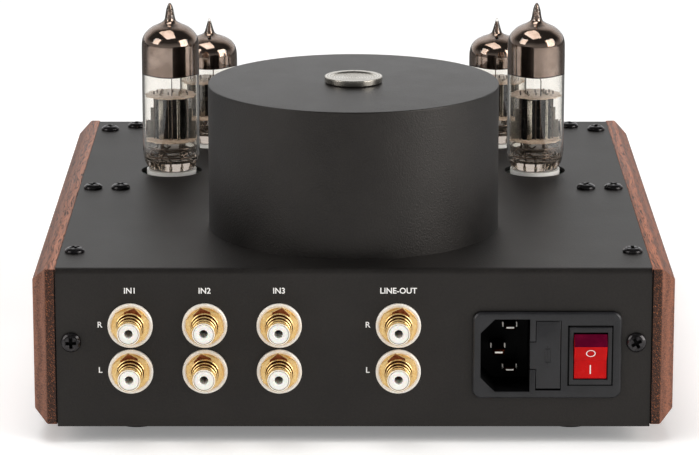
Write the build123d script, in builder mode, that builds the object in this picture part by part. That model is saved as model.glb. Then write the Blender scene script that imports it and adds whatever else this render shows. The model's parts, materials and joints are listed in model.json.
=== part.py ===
from build123d import *
import os
from math import cos, radians, sin

# A small valve headphone amplifier: a folded steel case between two wooden cheeks,
# four plug-in valves and a drum-shaped transformer cover on its top plate.
# The front faces -Y, the sockets face +Y and +Z is up. The origin is on the floor,
# half-way between the volume knob's face and the tips of the phono sockets.
# All sizes are in millimetres.

# ---- Case -------------------------------------------------------------------
case_width = 200.0
case_depth = 234.0
case_height = 55.0
sheet = 1.5  # steel sheet thickness
bend = 2.0  # outer radius of the folds
lip = 10.5  # width of the tray's folded-in lips, from the outside of the case
cheek = 8.0  # thickness of a wooden cheek
cheek_chamfer = 4.5
cheek_overhang = 0.5  # how far a cheek runs past the case at each end
cheek_rise = 0.8  # its lower edge stays this far above the case's
foot_height = 6.0
foot_radius = 8.0
foot_taper = 8.0  # degrees
foot_inset = 25.0  # foot centre from the case's edges
vent_length, vent_width, vent_pitch, vents = 22.0, 3.0, 7.0, 4

# ---- Reach of the controls and sockets past the case ------------------------
knob_length = 18.0
knob_gap = 1.0  # between a knob's skirt and the front panel
phono_reach = 12.0

# ---- Valves: distances are from the front panel and from the centre line ----
tall_side, tall_from_front = 67.7, 87.0
short_side, short_from_front = 55.0, 39.0
valve_hole_radius = 11.25
socket_radius = 9.2
socket_height = 12.0
socket_rise = 0.8  # the ceramic's face above the top plate
seat_gap = 0.2  # between a plugged-in valve and its socket
pin_count, pin_stations, pin_circle = 9, 10, 5.95  # one of ten stations is left out
pin_radius, pin_length = 0.5, 7.0
glass = 0.8  # wall of the glass
glass_foot = 3.5  # its foot, which the pins are sealed into
tall_outline = [
    (8.4, 0), (10.6, 3.2), (10.6, 48.6), (8.4, 52.6), (3.2, 55.0), (1.7, 57.6), (0.5, 62.4)
]
short_outline = [
    (8.4, 0), (10.5, 3.2), (10.5, 34.2), (8.6, 38.3), (3.4, 41.0), (1.7, 43.0), (0.5, 47.7)
]
tall_spacers, short_spacers = (11.0, 27.8), (9.5, 23.5)  # height of each mica spacer
mica, mica_gap, mica_sides = 0.4, 0.3, 12
rod_radius, rod_x, rod_y, rod_end = 0.45, 7.0, 6.6, 1.0  # spacing each way
anode_width, anode_depth, anode_x, anode_sheet = 5.2, 5.0, 2.75, 0.4
fin_steps = ((6.4, 1.0), (7.7, 0.72), (9.0, 0.42))  # half width, share of the height
contact_slot = (2.4, 1.5)  # opening over each contact in the ceramic
contact_depth = 8.5

# ---- Boards -----------------------------------------------------------------
board = 1.6
board_side = 85.0  # its four fixings from the centre line
board_rear, board_front = 116.5, 11.0  # and from the front panel
board_margin = 6.0
standoff_flats = 5.5
supply_from_rear, supply_size, supply_leg = 62.7, (76.0, 76.0), 6.0
filter_radius, filter_length, filter_pitch = 12.5, 30.0, 30.0
film_size, film_height, film_pitch = (32.0, 14.0), 20.0, (54.0, 34.0)

# ---- Transformer ------------------------------------------------------------
cover_from_rear = 62.7
cover_radius, cover_height, cover_wall = 50.6, 50.8, 1.5
cover_chamfer = 0.8
toroid_radius, toroid_eye, toroid_height, toroid_corner = 42.0, 12.0, 36.0, 6.0
pad_radius, pad = 36.0, 1.5
dish_radius, dish = 20.0, 1.5
bolt_radius, bolt_flats, bolt_head = 3.0, 10.0, 4.0
cap_radius, cap_height, cap_bevel = 10.05, 2.3, 0.4
cap_rim, cap_dish = 1.9, 0.5  # width of its raised rim, depth of the face inside it

# ---- Phono sockets: columns and rows on the rear panel ----------------------
phono_columns = (-75.0, -50.0, -25.0, 15.0)
phono_rows = (-19.5, -35.5)
phono_radius, phono_thread, phono_bore = 4.15, 4.5, 3.5
phono_nose = 8.0  # length of the plain contact sleeve
phono_tail = 11.0  # what reaches behind the panel's outer face
insert_length = 10.0
contact_radius, contact_leaves = 1.6, 8  # the split contact that a plug's pin enters
flange_radius, flange = 7.7, 1.6
flange_rim, flange_dish, flange_slope = 0.5, 1.0, 58.0  # rim, and the dish's depth and angle
phono_nut_flats, phono_nut = 11.5, 3.0  # height from the panel

# ---- Mains module, on the rear panel ----------------------------------------
module_x, module_y = 65.0, -29.7
module_width, module_height, module_corner, module_face = 50.0, 30.0, 3.0, 1.8
module_edge = 0.6
body_width, body_height, body_depth = 46.4, 27.0, 27.0
inlet_x, inlet_width, inlet_height, inlet_depth = -14.1, 16.6, 25.2, 18.0
inlet_chamfer = 4.8
blade_width, blade_thick, blade_tip = 4.0, 2.0, 0.7
line_spot, earth_spot = (2.0, 7.4), (-2.0, 0.0)  # from the inlet's centre
line_below, earth_below = 8.5, 4.0  # blade tips below the module's face
tab_width, tab_thick, tab_length = 6.3, 0.8, 8.0
drawer_x, drawer_width, drawer_height, drawer_depth = 0.4, 8.2, 23.9, 21.0
drawer_gap = 0.2
grip_height, grip_depth = 9.4, 5.0  # the drawer's finger lip beside the inlet
fuse_radius, fuse_length, fuse_below = 2.6, 20.0, 13.0

# ---- Rocker switch in the module --------------------------------------------
switch_x = 14.55
bezel_width, bezel_height, bezel = 15.2, 20.9, 0.6
window_width, window_height, window_lip = 11.6, 16.4, 0.4
switch_width, switch_height, switch_depth = 13.8, 20.6, 14.0
switch_wall = 0.35
rocker_width = 11.0
rocker_reach = 6.0  # pivot to the valley between the two faces
rocker_half = 6.4  # length of one face
rocker_tilt = 15.0  # each way from level
rocker_skirt = 66.0  # the end wall is an arc about the pivot up to this angle
rocker_sink = 0.2  # the pressed half lies this far below the bezel
stub_radius, stub_length = 1.2, 0.8

# ---- Front controls: x from the centre line, all at one height --------------
control_y = -27.5
volume_x, selector_x, jack_x, lamp_x = 58.0, -14.0, -68.0, 22.0
knob_radius, small_knob_radius, knob_bevel = 19.0, 11.0, 1.0
knob_well_radius, knob_cap = 8.0, 4.0  # hollow for the nut, solid past the shaft
shaft_radius = 3.0
running = 0.05  # radial running clearance of the shafts and the rocker's stubs
bushing_radius, bushing_length = 3.5, 7.0
control_nut_flats, control_nut = 11.0, 2.2
pot_width, pot_height, pot_depth = 17.0, 19.0, 14.0
wafer_size, wafer_depth = 20.0, 16.0
jack_bore, jack_thread, jack_depth = 3.25, 4.75, 28.0
jack_width, jack_height, jack_nose = 16.0, 18.0, 5.0
jack_nut_flats = 14.0
lamp_radius, lamp_reach, lamp_length = 2.5, 1.2, 6.0

# ---- Places that follow from the sizes --------------------------------------
front_reach = knob_gap + knob_length
rear_y = case_depth / 2 + (front_reach - phono_reach) / 2
front_y = rear_y - case_depth
mid_y = (rear_y + front_y) / 2
top_z = foot_height + case_height
under_z = top_z - sheet  # underside of the top plate
floor_z = foot_height + sheet  # inside face of the tray's floor
side_x = case_width / 2

# Drawing planes on the case: x to the right and y up as seen from outside, y from the
# top plate's surface down to negative values.
rear = Plane(origin=(0, rear_y, top_z), x_dir=(-1, 0, 0), z_dir=(0, 1, 0))
front = Plane(origin=(0, front_y, top_z), x_dir=(1, 0, 0), z_dir=(0, -1, 0))
lid = Plane(origin=(0, rear_y, top_z))


def shifted(plane, x, y, z=0.0):
    """The same plane with its origin moved to local x, y and z."""
    return Plane(plane.from_local_coords((x, y, z)), x_dir=plane.x_dir, z_dir=plane.z_dir)


module = shifted(rear, module_x, module_y)
inlet = shifted(module, inlet_x, 0, module_face)

tall_y, short_y = tall_from_front - case_depth, short_from_front - case_depth
board_y = (board_rear + board_front) / 2 - case_depth
board_span = board_rear - board_front
valve_spots = {
    "tall_left": (-tall_side, tall_y),
    "tall_right": (tall_side, tall_y),
    "short_left": (-short_side, short_y),
    "short_right": (short_side, short_y),
}
phono_spots = [(x, y) for x in phono_columns for y in phono_rows]
board_spots = [
    (x, board_y + y) for x in (-board_side, board_side) for y in (-board_span / 2, board_span / 2)
]
foot_spots = [
    (x, y)
    for x in (foot_inset - side_x, side_x - foot_inset)
    for y in (foot_inset - case_depth / 2, case_depth / 2 - foot_inset)
]
volume_spot, selector_spot = (volume_x, control_y), (selector_x, control_y)
jack_spot, lamp_spot = (jack_x, control_y), (lamp_x, control_y)

os.makedirs("parts", exist_ok=True)

# ---- Top shell: rear panel, top plate and front panel folded from one sheet --
with BuildPart() as top_shell:
    with BuildSketch(Plane.YZ):
        with Locations((mid_y, foot_height + case_height / 2)):
            Rectangle(case_depth, case_height)
        fillet(vertices().group_by(Axis.Y)[-1], bend)
        with Locations((mid_y, foot_height + (case_height - sheet) / 2)):
            Rectangle(case_depth - 2 * sheet, case_height - sheet, mode=Mode.SUBTRACT)
    extrude(amount=side_x, both=True)
    with BuildSketch(lid):
        with Locations(*valve_spots.values()):
            Circle(valve_hole_radius)
        with Locations((0, -cover_from_rear)):
            Circle(bolt_radius)
    extrude(amount=-2 * sheet, mode=Mode.SUBTRACT)
    with BuildSketch(rear):
        with Locations(*phono_spots):
            Circle(phono_thread)
        with Locations((module_x, module_y)):
            Rectangle(body_width, body_height)
    extrude(amount=-2 * sheet, mode=Mode.SUBTRACT)
    with BuildSketch(front):
        with Locations(volume_spot, selector_spot):
            Circle(bushing_radius)
        with Locations(jack_spot):
            Circle(jack_thread)
        with Locations(lamp_spot):
            Circle(lamp_radius)
    extrude(amount=-2 * sheet, mode=Mode.SUBTRACT)
top_shell.part.label = "top_shell"
export_step(top_shell.part, "parts/top_shell.step")

# ---- Base tray: floor and side walls with folded lips, under the shell ------
tray_length = case_depth - 2 * sheet
tray_height = case_height - sheet
with BuildPart() as base_tray:
    with BuildSketch(Plane.XZ.offset(-mid_y)):
        with Locations((0, foot_height + tray_height / 2)):
            Rectangle(case_width, tray_height)
            fillet(vertices(), bend)
            Rectangle(case_width - 2 * sheet, tray_height - 2 * sheet, mode=Mode.SUBTRACT)
        with Locations((0, under_z)):
            Rectangle(case_width - 2 * lip, 3 * sheet, mode=Mode.SUBTRACT)
    extrude(amount=tray_length / 2, both=True)
    end_lip = lip - sheet
    with Locations((0, mid_y, floor_z + (tray_height - 2 * sheet) / 2)):
        with GridLocations(case_width - 2 * sheet - end_lip, tray_length - sheet, 2, 2):
            Box(end_lip, sheet, tray_height - 2 * sheet)
    with BuildSketch(Plane(origin=(0, rear_y, foot_height))):
        for x, y in valve_spots.values():
            with Locations((x, y)):
                with GridLocations(0, vent_pitch, 1, vents):
                    Rectangle(vent_length, vent_width)
    extrude(amount=sheet, mode=Mode.SUBTRACT)
base_tray.part.label = "base_tray"
export_step(base_tray.part, "parts/base_tray.step")

# ---- Wooden cheeks, bevelled all round their outer face ---------------------
for side, name in ((-1, "cheek_left"), (1, "cheek_right")):
    cheek_height = case_height - cheek_rise
    with BuildPart() as wood:
        with Locations((side * (side_x + cheek / 2), mid_y, top_z - cheek_height / 2)):
            Box(cheek, case_depth + 2 * cheek_overhang, cheek_height)
        outer_face = wood.faces().sort_by(Axis.X)[-1 if side > 0 else 0]
        chamfer(outer_face.edges(), cheek_chamfer)
    wood.part.label = name
    export_step(wood.part, f"parts/{name}.step")

# ---- Rubber feet ------------------------------------------------------------
with BuildPart() as feet:
    with BuildSketch(Plane(origin=(0, mid_y, foot_height))):
        with Locations(*foot_spots):
            Circle(foot_radius)
    extrude(amount=-foot_height, taper=foot_taper)
feet.part.label = "feet"
export_step(feet.part, "parts/feet.step")

# ---- Transformer under its drum-shaped cover --------------------------------
drum = Plane(origin=(0, rear_y - cover_from_rear, top_z))
with BuildPart() as transformer_cover:
    with BuildSketch(drum):
        Circle(cover_radius)
    extrude(amount=cover_height)
    chamfer(transformer_cover.edges().group_by(Axis.Z)[-1], cover_chamfer)
    with BuildSketch(drum):
        Circle(cover_radius - cover_wall)
    extrude(amount=cover_height - cover_wall, mode=Mode.SUBTRACT)
    with BuildSketch(drum.offset(cover_height)):
        Circle(bolt_radius)
    extrude(amount=-2 * cover_wall, mode=Mode.SUBTRACT)
transformer_cover.part.label = "transformer_cover"
export_step(transformer_cover.part, "parts/transformer_cover.step")

with BuildPart() as toroid:
    with BuildSketch(drum.offset(pad)):
        Circle(toroid_radius)
    extrude(amount=toroid_height)
    chamfer(toroid.edges(), toroid_corner)
    with BuildSketch(drum.offset(pad)):
        Circle(toroid_eye)
    extrude(amount=toroid_height, mode=Mode.SUBTRACT)
toroid.part.label = "toroid"
export_step(toroid.part, "parts/toroid.step")

with BuildPart() as toroid_pads:
    for height in (0, pad + toroid_height):
        with BuildSketch(drum.offset(height)):
            Circle(pad_radius)
            Circle(bolt_radius, mode=Mode.SUBTRACT)
        extrude(amount=pad)
toroid_pads.part.label = "toroid_pads"
export_step(toroid_pads.part, "parts/toroid_pads.step")

dish_z = 2 * pad + toroid_height
with BuildPart() as clamp_washer:
    with BuildSketch(drum.offset(dish_z)):
        Circle(dish_radius)
        Circle(bolt_radius, mode=Mode.SUBTRACT)
    extrude(amount=dish)
clamp_washer.part.label = "clamp_washer"
export_step(clamp_washer.part, "parts/clamp_washer.step")

# The stud comes up through the plate, the toroid and the washer into a long nut, which
# also takes the cap screw that holds the cover down.
nut_z = dish_z + dish
cover_inside = cover_height - cover_wall
screw_end = cover_inside - (cover_inside - nut_z) / 2
with BuildPart() as clamp_stud:
    with BuildSketch(drum.offset(-sheet)):
        RegularPolygon(bolt_flats / 2, 6, major_radius=False)
    extrude(amount=-bolt_head)
    with BuildSketch(drum.offset(-sheet)):
        Circle(bolt_radius)
    extrude(amount=sheet + screw_end)
clamp_stud.part.label = "clamp_stud"
export_step(clamp_stud.part, "parts/clamp_stud.step")

with BuildPart() as clamp_nut:
    with BuildSketch(drum.offset(nut_z)):
        RegularPolygon(bolt_flats / 2, 6, major_radius=False)
        Circle(bolt_radius, mode=Mode.SUBTRACT)
    extrude(amount=cover_inside - nut_z)
clamp_nut.part.label = "clamp_nut"
export_step(clamp_nut.part, "parts/clamp_nut.step")

with BuildPart() as cap_screw:
    with BuildSketch(drum.offset(cover_height)):
        Circle(cap_radius)
    extrude(amount=cap_height)
    chamfer(cap_screw.edges().group_by(Axis.Z)[-1], cap_bevel)
    with BuildSketch(drum.offset(cover_height + cap_height)):
        Circle(cap_radius - cap_rim)
    extrude(amount=-cap_dish, mode=Mode.SUBTRACT)
    with BuildSketch(drum.offset(screw_end)):
        Circle(bolt_radius)
    extrude(amount=cover_height - screw_end)
cap_screw.part.label = "cap_screw"
export_step(cap_screw.part, "parts/cap_screw.step")

# ---- Phono sockets: shell, insulator round the contact, and flanged nut -----
with BuildPart() as phono_shells:
    with BuildSketch(rear.offset(-phono_tail)):
        with Locations(*phono_spots):
            Circle(phono_thread)
    extrude(amount=phono_tail + phono_reach - phono_nose)
    with BuildSketch(rear.offset(phono_reach - phono_nose)):
        with Locations(*phono_spots):
            Circle(phono_radius)
    extrude(amount=phono_nose)
    with BuildSketch(rear.offset(phono_reach)):
        with Locations(*phono_spots):
            Circle(phono_bore)
    extrude(amount=-insert_length, mode=Mode.SUBTRACT)
phono_shells.part.label = "phono_shells"
export_step(phono_shells.part, "parts/phono_shells.step")

with BuildPart() as phono_inserts:
    with BuildSketch(rear.offset(phono_reach)):
        with Locations(*phono_spots):
            Circle(phono_bore)
            RegularPolygon(contact_radius, contact_leaves, mode=Mode.SUBTRACT)
    extrude(amount=-insert_length)
phono_inserts.part.label = "phono_inserts"
export_step(phono_inserts.part, "parts/phono_inserts.step")

with BuildPart() as phono_nuts:
    with BuildSketch(rear):
        with Locations(*phono_spots):
            Circle(flange_radius)
    extrude(amount=flange)
    with BuildSketch(rear.offset(flange)):
        with Locations(*phono_spots):
            Circle(flange_radius - flange_rim)
    extrude(amount=-flange_dish, taper=flange_slope, mode=Mode.SUBTRACT)
    with BuildSketch(rear):
        with Locations(*phono_spots):
            RegularPolygon(phono_nut_flats / 2, 6, major_radius=False)
    extrude(amount=phono_nut)
    with BuildSketch(rear):
        with Locations(*phono_spots):
            Circle(phono_thread)
    extrude(amount=phono_nut, mode=Mode.SUBTRACT)
phono_nuts.part.label = "phono_nuts"
export_step(phono_nuts.part, "parts/phono_nuts.step")

# ---- Mains module: inlet, fuse drawer and switch bay in one moulding --------
drawer_bay = (drawer_width + 2 * drawer_gap, drawer_height + 2 * drawer_gap)
drawer_bay_depth = drawer_depth + drawer_gap
inlet_right = inlet_x + inlet_width / 2
drawer_left = drawer_x - drawer_width / 2
grip_width = drawer_left - inlet_right
fuse_channel = 2 * fuse_radius + drawer_gap
with BuildPart() as mains_module:
    with BuildSketch(module):
        RectangleRounded(module_width, module_height, module_corner)
    extrude(amount=module_face)
    chamfer(mains_module.faces().sort_by(Axis.Y)[-1].edges(), module_edge)
    with BuildSketch(module):
        Rectangle(body_width, body_height)
    extrude(amount=-body_depth)
    with BuildSketch(inlet):
        Rectangle(inlet_width, inlet_height)
        chamfer(vertices().group_by(Axis.X)[0], inlet_chamfer)
    extrude(amount=-inlet_depth, mode=Mode.SUBTRACT)
    with BuildSketch(module.offset(module_face)):
        with Locations((drawer_x, 0)):
            Rectangle(*drawer_bay)
    extrude(amount=-drawer_bay_depth, mode=Mode.SUBTRACT)
    with BuildSketch(module.offset(module_face)):
        with Locations(((inlet_right + drawer_left) / 2, 0)):
            Rectangle(grip_width + drawer_gap, grip_height + 2 * drawer_gap)
    extrude(amount=-grip_depth - drawer_gap, mode=Mode.SUBTRACT)
    with BuildSketch(module.offset(module_face)):
        with Locations((switch_x, 0)):
            Rectangle(switch_width, switch_height)
    extrude(amount=-module_face - body_depth, mode=Mode.SUBTRACT)
    with BuildSketch(inlet.offset(-inlet_depth)):
        with Locations(line_spot, (line_spot[0], -line_spot[1]), earth_spot):
            Rectangle(blade_width, blade_thick)
    extrude(amount=-body_depth, mode=Mode.SUBTRACT)
mains_module.part.label = "mains_module"
export_step(mains_module.part, "parts/mains_module.step")

blade_end = body_depth + module_face  # where a blade leaves the moulding's back
with BuildPart() as inlet_blades:
    for spots, below in (
        ([line_spot, (line_spot[0], -line_spot[1])], line_below),
        ([earth_spot], earth_below),
    ):
        with BuildSketch(inlet.offset(-below)):
            with Locations(*spots):
                Rectangle(blade_width, blade_thick)
        extrude(amount=below - blade_end)
        tips = inlet_blades.faces().filter_by(Axis.Y).sort_by(Axis.Y)[-len(spots):]
        chamfer([edge for tip in tips for edge in tip.edges()], blade_tip)
    with BuildSketch(inlet.offset(-blade_end)):
        with Locations(line_spot, (line_spot[0], -line_spot[1]), earth_spot):
            Rectangle(tab_width, tab_thick)
    extrude(amount=-tab_length)
inlet_blades.part.label = "inlet_blades"
export_step(inlet_blades.part, "parts/inlet_blades.step")

with BuildPart() as fuse_drawer:
    with BuildSketch(module.offset(module_face)):
        with Locations((drawer_x, 0)):
            Rectangle(drawer_width, drawer_height)
    extrude(amount=-drawer_depth)
    with BuildSketch(module.offset(module_face)):
        with Locations((drawer_left - grip_width / 2, 0)):
            Rectangle(grip_width, grip_height)
    extrude(amount=-grip_depth)
    with BuildSketch(module.offset(module_face - fuse_below + fuse_channel / 2)):
        with Locations((drawer_left, 0)):
            Rectangle(2 * fuse_channel, fuse_length)
    extrude(amount=-fuse_channel, mode=Mode.SUBTRACT)
fuse_drawer.part.label = "fuse_drawer"
export_step(fuse_drawer.part, "parts/fuse_drawer.step")

fuse_x = drawer_left + fuse_channel - fuse_radius
with BuildPart() as fuse:
    with Locations(module * Location((fuse_x, 0, module_face - fuse_below), (90, 0, 0))):
        Cylinder(fuse_radius, fuse_length)
fuse.part.label = "fuse"
export_step(fuse.part, "parts/fuse.step")

# ---- Rocker switch ----------------------------------------------------------
# The pivot lies along the module's x. The drawing plane across it has x up and y out of
# the panel; the switch rests tilted, with its lower half pressed in.
bezel_z = module_face + bezel
pivot_z = bezel_z - rocker_sink - rocker_reach
pivot = Plane(
    origin=module.from_local_coords((switch_x, 0, pivot_z)),
    x_dir=(0, 0, 1),
    z_dir=(-1, 0, 0),
)
with BuildPart() as switch_frame:
    with BuildSketch(module.offset(module_face)):
        with Locations((switch_x, 0)):
            Rectangle(bezel_width, bezel_height)
    extrude(amount=bezel)
    with BuildSketch(module.offset(module_face)):
        with Locations((switch_x, 0)):
            Rectangle(switch_width, switch_height)
    extrude(amount=-switch_depth)
    with BuildSketch(module.offset(bezel_z)):
        with Locations((switch_x, 0)):
            Rectangle(window_width, window_height)
    extrude(amount=-window_lip, mode=Mode.SUBTRACT)
    with BuildSketch(module.offset(bezel_z - window_lip)):
        with Locations((switch_x, 0)):
            Rectangle(window_width, switch_height - 2 * switch_wall)
    extrude(amount=-switch_depth, mode=Mode.SUBTRACT)
    with BuildSketch(pivot):
        Circle(stub_radius + running)
    extrude(amount=window_width / 2 + stub_length, both=True, mode=Mode.SUBTRACT)
switch_frame.part.label = "switch_frame"
export_step(switch_frame.part, "parts/switch_frame.step")

tilt, skirt = radians(rocker_tilt), radians(rocker_skirt)
crest = Vector(rocker_half * cos(tilt), rocker_reach + rocker_half * sin(tilt))
rim = crest.length
knee = Vector(rim * sin(skirt), rim * cos(skirt))
between = (crest.get_angle(Vector(0, 1)) + rocker_skirt) / 2
belly = Vector(rim * sin(radians(between)), rim * cos(radians(between)))
heel = Vector(rocker_reach / 2, -rocker_reach / 2)
with BuildPart() as rocker:
    with BuildSketch(Plane(pivot.location * Rotation(0, 0, rocker_tilt))):
        with BuildLine():
            Line((0, rocker_reach), crest)
            ThreePointArc(crest, belly, knee)
            Polyline(knee, heel, (0, heel.Y))
            mirror(about=Plane.YZ)
        make_face()
    extrude(amount=rocker_width / 2, both=True)
    with BuildSketch(pivot):
        Circle(stub_radius)
    extrude(amount=rocker_width / 2 + stub_length, both=True)
rocker.part.label = "rocker"
export_step(rocker.part, "parts/rocker.step")

# ---- Valve sockets on the valve board, which hangs from the top plate -------
board_z = socket_rise - socket_height  # the board's upper face, from the plate's surface
with BuildPart() as valve_board:
    with BuildSketch(lid.offset(board_z)):
        with Locations((0, board_y)):
            Rectangle(2 * (board_side + board_margin), board_span + 2 * board_margin)
    extrude(amount=-board)
valve_board.part.label = "valve_board"
export_step(valve_board.part, "parts/valve_board.step")

with BuildPart() as board_standoffs:
    with BuildSketch(lid.offset(board_z)):
        with Locations(*board_spots):
            RegularPolygon(standoff_flats / 2, 6, major_radius=False)
    extrude(amount=-board_z - sheet)
board_standoffs.part.label = "board_standoffs"
export_step(board_standoffs.part, "parts/board_standoffs.step")

with BuildPart() as valve_sockets:
    with BuildSketch(lid.offset(board_z)):
        with Locations(*valve_spots.values()):
            Circle(socket_radius)
    extrude(amount=socket_height)
    with BuildSketch(lid.offset(socket_rise)):
        with Locations(*valve_spots.values()):
            with PolarLocations(pin_circle, pin_stations):
                Rectangle(*contact_slot)
    extrude(amount=-contact_depth, mode=Mode.SUBTRACT)
valve_sockets.part.label = "valve_sockets"
export_step(valve_sockets.part, "parts/valve_sockets.step")

# ---- Supply board on the tray's floor, under the transformer ----------------
supply_z = floor_z + supply_leg
with BuildPart() as supply_board:
    with BuildSketch(Plane(origin=(0, rear_y - supply_from_rear, supply_z))):
        Rectangle(*supply_size)
    extrude(amount=board)
supply_board.part.label = "supply_board"
export_step(supply_board.part, "parts/supply_board.step")

with BuildPart() as supply_legs:
    with BuildSketch(Plane(origin=(0, rear_y - supply_from_rear, floor_z))):
        with GridLocations(*[size - 2 * board_margin for size in supply_size], 2, 2):
            RegularPolygon(standoff_flats / 2, 6, major_radius=False)
    extrude(amount=supply_leg)
supply_legs.part.label = "supply_legs"
export_step(supply_legs.part, "parts/supply_legs.step")

with BuildPart() as filter_capacitors:
    with BuildSketch(Plane(origin=(0, rear_y - supply_from_rear, supply_z + board))):
        with GridLocations(filter_pitch, 0, 2, 1):
            Circle(filter_radius)
    extrude(amount=filter_length)
filter_capacitors.part.label = "filter_capacitors"
export_step(filter_capacitors.part, "parts/filter_capacitors.step")

with BuildPart() as film_capacitors:
    with BuildSketch(lid.offset(board_z - board)):
        with Locations((0, board_y)):
            with GridLocations(*film_pitch, 2, 2):
                Rectangle(*film_size)
    extrude(amount=-film_height)
film_capacitors.part.label = "film_capacitors"
export_step(film_capacitors.part, "parts/film_capacitors.step")

# ---- Volume control and source selector -------------------------------------
# Each has a body behind the front panel, a bushing through it, a shaft and a knob.
shaft_end = front_reach - knob_cap
with BuildPart() as volume_pot:
    with BuildSketch(front.offset(-sheet)):
        with Locations(volume_spot):
            Rectangle(pot_width, pot_height)
    extrude(amount=-pot_depth)
    with BuildSketch(front.offset(-sheet)):
        with Locations(volume_spot):
            Circle(bushing_radius)
    extrude(amount=bushing_length)
    with BuildSketch(front.offset(bushing_length - sheet)):
        with Locations(volume_spot):
            Circle(shaft_radius + running)
    extrude(amount=-bushing_length - pot_depth / 2, mode=Mode.SUBTRACT)
volume_pot.part.label = "volume_pot"
export_step(volume_pot.part, "parts/volume_pot.step")

with BuildPart() as selector_switch:
    with BuildSketch(front.offset(-sheet)):
        with Locations(selector_spot):
            Rectangle(wafer_size, wafer_size)
    extrude(amount=-wafer_depth)
    with BuildSketch(front.offset(-sheet)):
        with Locations(selector_spot):
            Circle(bushing_radius)
    extrude(amount=bushing_length)
    with BuildSketch(front.offset(bushing_length - sheet)):
        with Locations(selector_spot):
            Circle(shaft_radius + running)
    extrude(amount=-bushing_length - pot_depth / 2, mode=Mode.SUBTRACT)
selector_switch.part.label = "selector_switch"
export_step(selector_switch.part, "parts/selector_switch.step")

knob_well = bushing_length  # height of the hollow behind a knob, clear of the bushing
for name, spot, radius in (
    ("volume", volume_spot, knob_radius),
    ("selector", selector_spot, small_knob_radius),
):
    with BuildPart() as shaft:
        with BuildSketch(front.offset(-sheet - pot_depth / 2 + 2 * running)):
            with Locations(spot):
                Circle(shaft_radius)
        extrude(amount=sheet + pot_depth / 2 - 2 * running + shaft_end)
    shaft.part.label = f"{name}_shaft"
    export_step(shaft.part, f"parts/{name}_shaft.step")

    with BuildPart() as knob:
        with BuildSketch(front.offset(knob_gap)):
            with Locations(spot):
                Circle(radius)
        extrude(amount=knob_length)
        chamfer(knob.edges().group_by(Axis.Y)[0], knob_bevel)
        with BuildSketch(front.offset(knob_gap)):
            with Locations(spot):
                Circle(knob_well_radius)
        extrude(amount=knob_well - knob_gap, mode=Mode.SUBTRACT)
        with BuildSketch(front.offset(knob_gap)):
            with Locations(spot):
                Circle(shaft_radius)
        extrude(amount=shaft_end - knob_gap, mode=Mode.SUBTRACT)
    knob.part.label = f"{name}_knob"
    export_step(knob.part, f"parts/{name}_knob.step")

with BuildPart() as control_nuts:
    with BuildSketch(front):
        with Locations(volume_spot, selector_spot):
            RegularPolygon(control_nut_flats / 2, 6, major_radius=False)
            Circle(bushing_radius, mode=Mode.SUBTRACT)
        with Locations(jack_spot):
            RegularPolygon(jack_nut_flats / 2, 6, major_radius=False)
            Circle(jack_thread, mode=Mode.SUBTRACT)
    extrude(amount=control_nut)
control_nuts.part.label = "control_nuts"
export_step(control_nuts.part, "parts/control_nuts.step")

# ---- Headphone jack and indicator lamp --------------------------------------
jack = shifted(front, *jack_spot)
with BuildPart() as headphone_jack:
    with BuildSketch(jack.offset(-sheet)):
        Rectangle(jack_width, jack_height)
    extrude(amount=-jack_depth)
    with BuildSketch(jack.offset(-sheet)):
        Circle(jack_thread)
    extrude(amount=sheet + jack_nose)
    with BuildSketch(jack.offset(jack_nose)):
        Circle(jack_bore)
    extrude(amount=-jack_nose - jack_depth, mode=Mode.SUBTRACT)
headphone_jack.part.label = "headphone_jack"
export_step(headphone_jack.part, "parts/headphone_jack.step")

with BuildPart() as pilot_lamp:
    with BuildSketch(shifted(front, *lamp_spot, lamp_reach)):
        Circle(lamp_radius)
    extrude(amount=-lamp_reach - lamp_length)
pilot_lamp.part.label = "pilot_lamp"
export_step(pilot_lamp.part, "parts/pilot_lamp.step")

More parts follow.
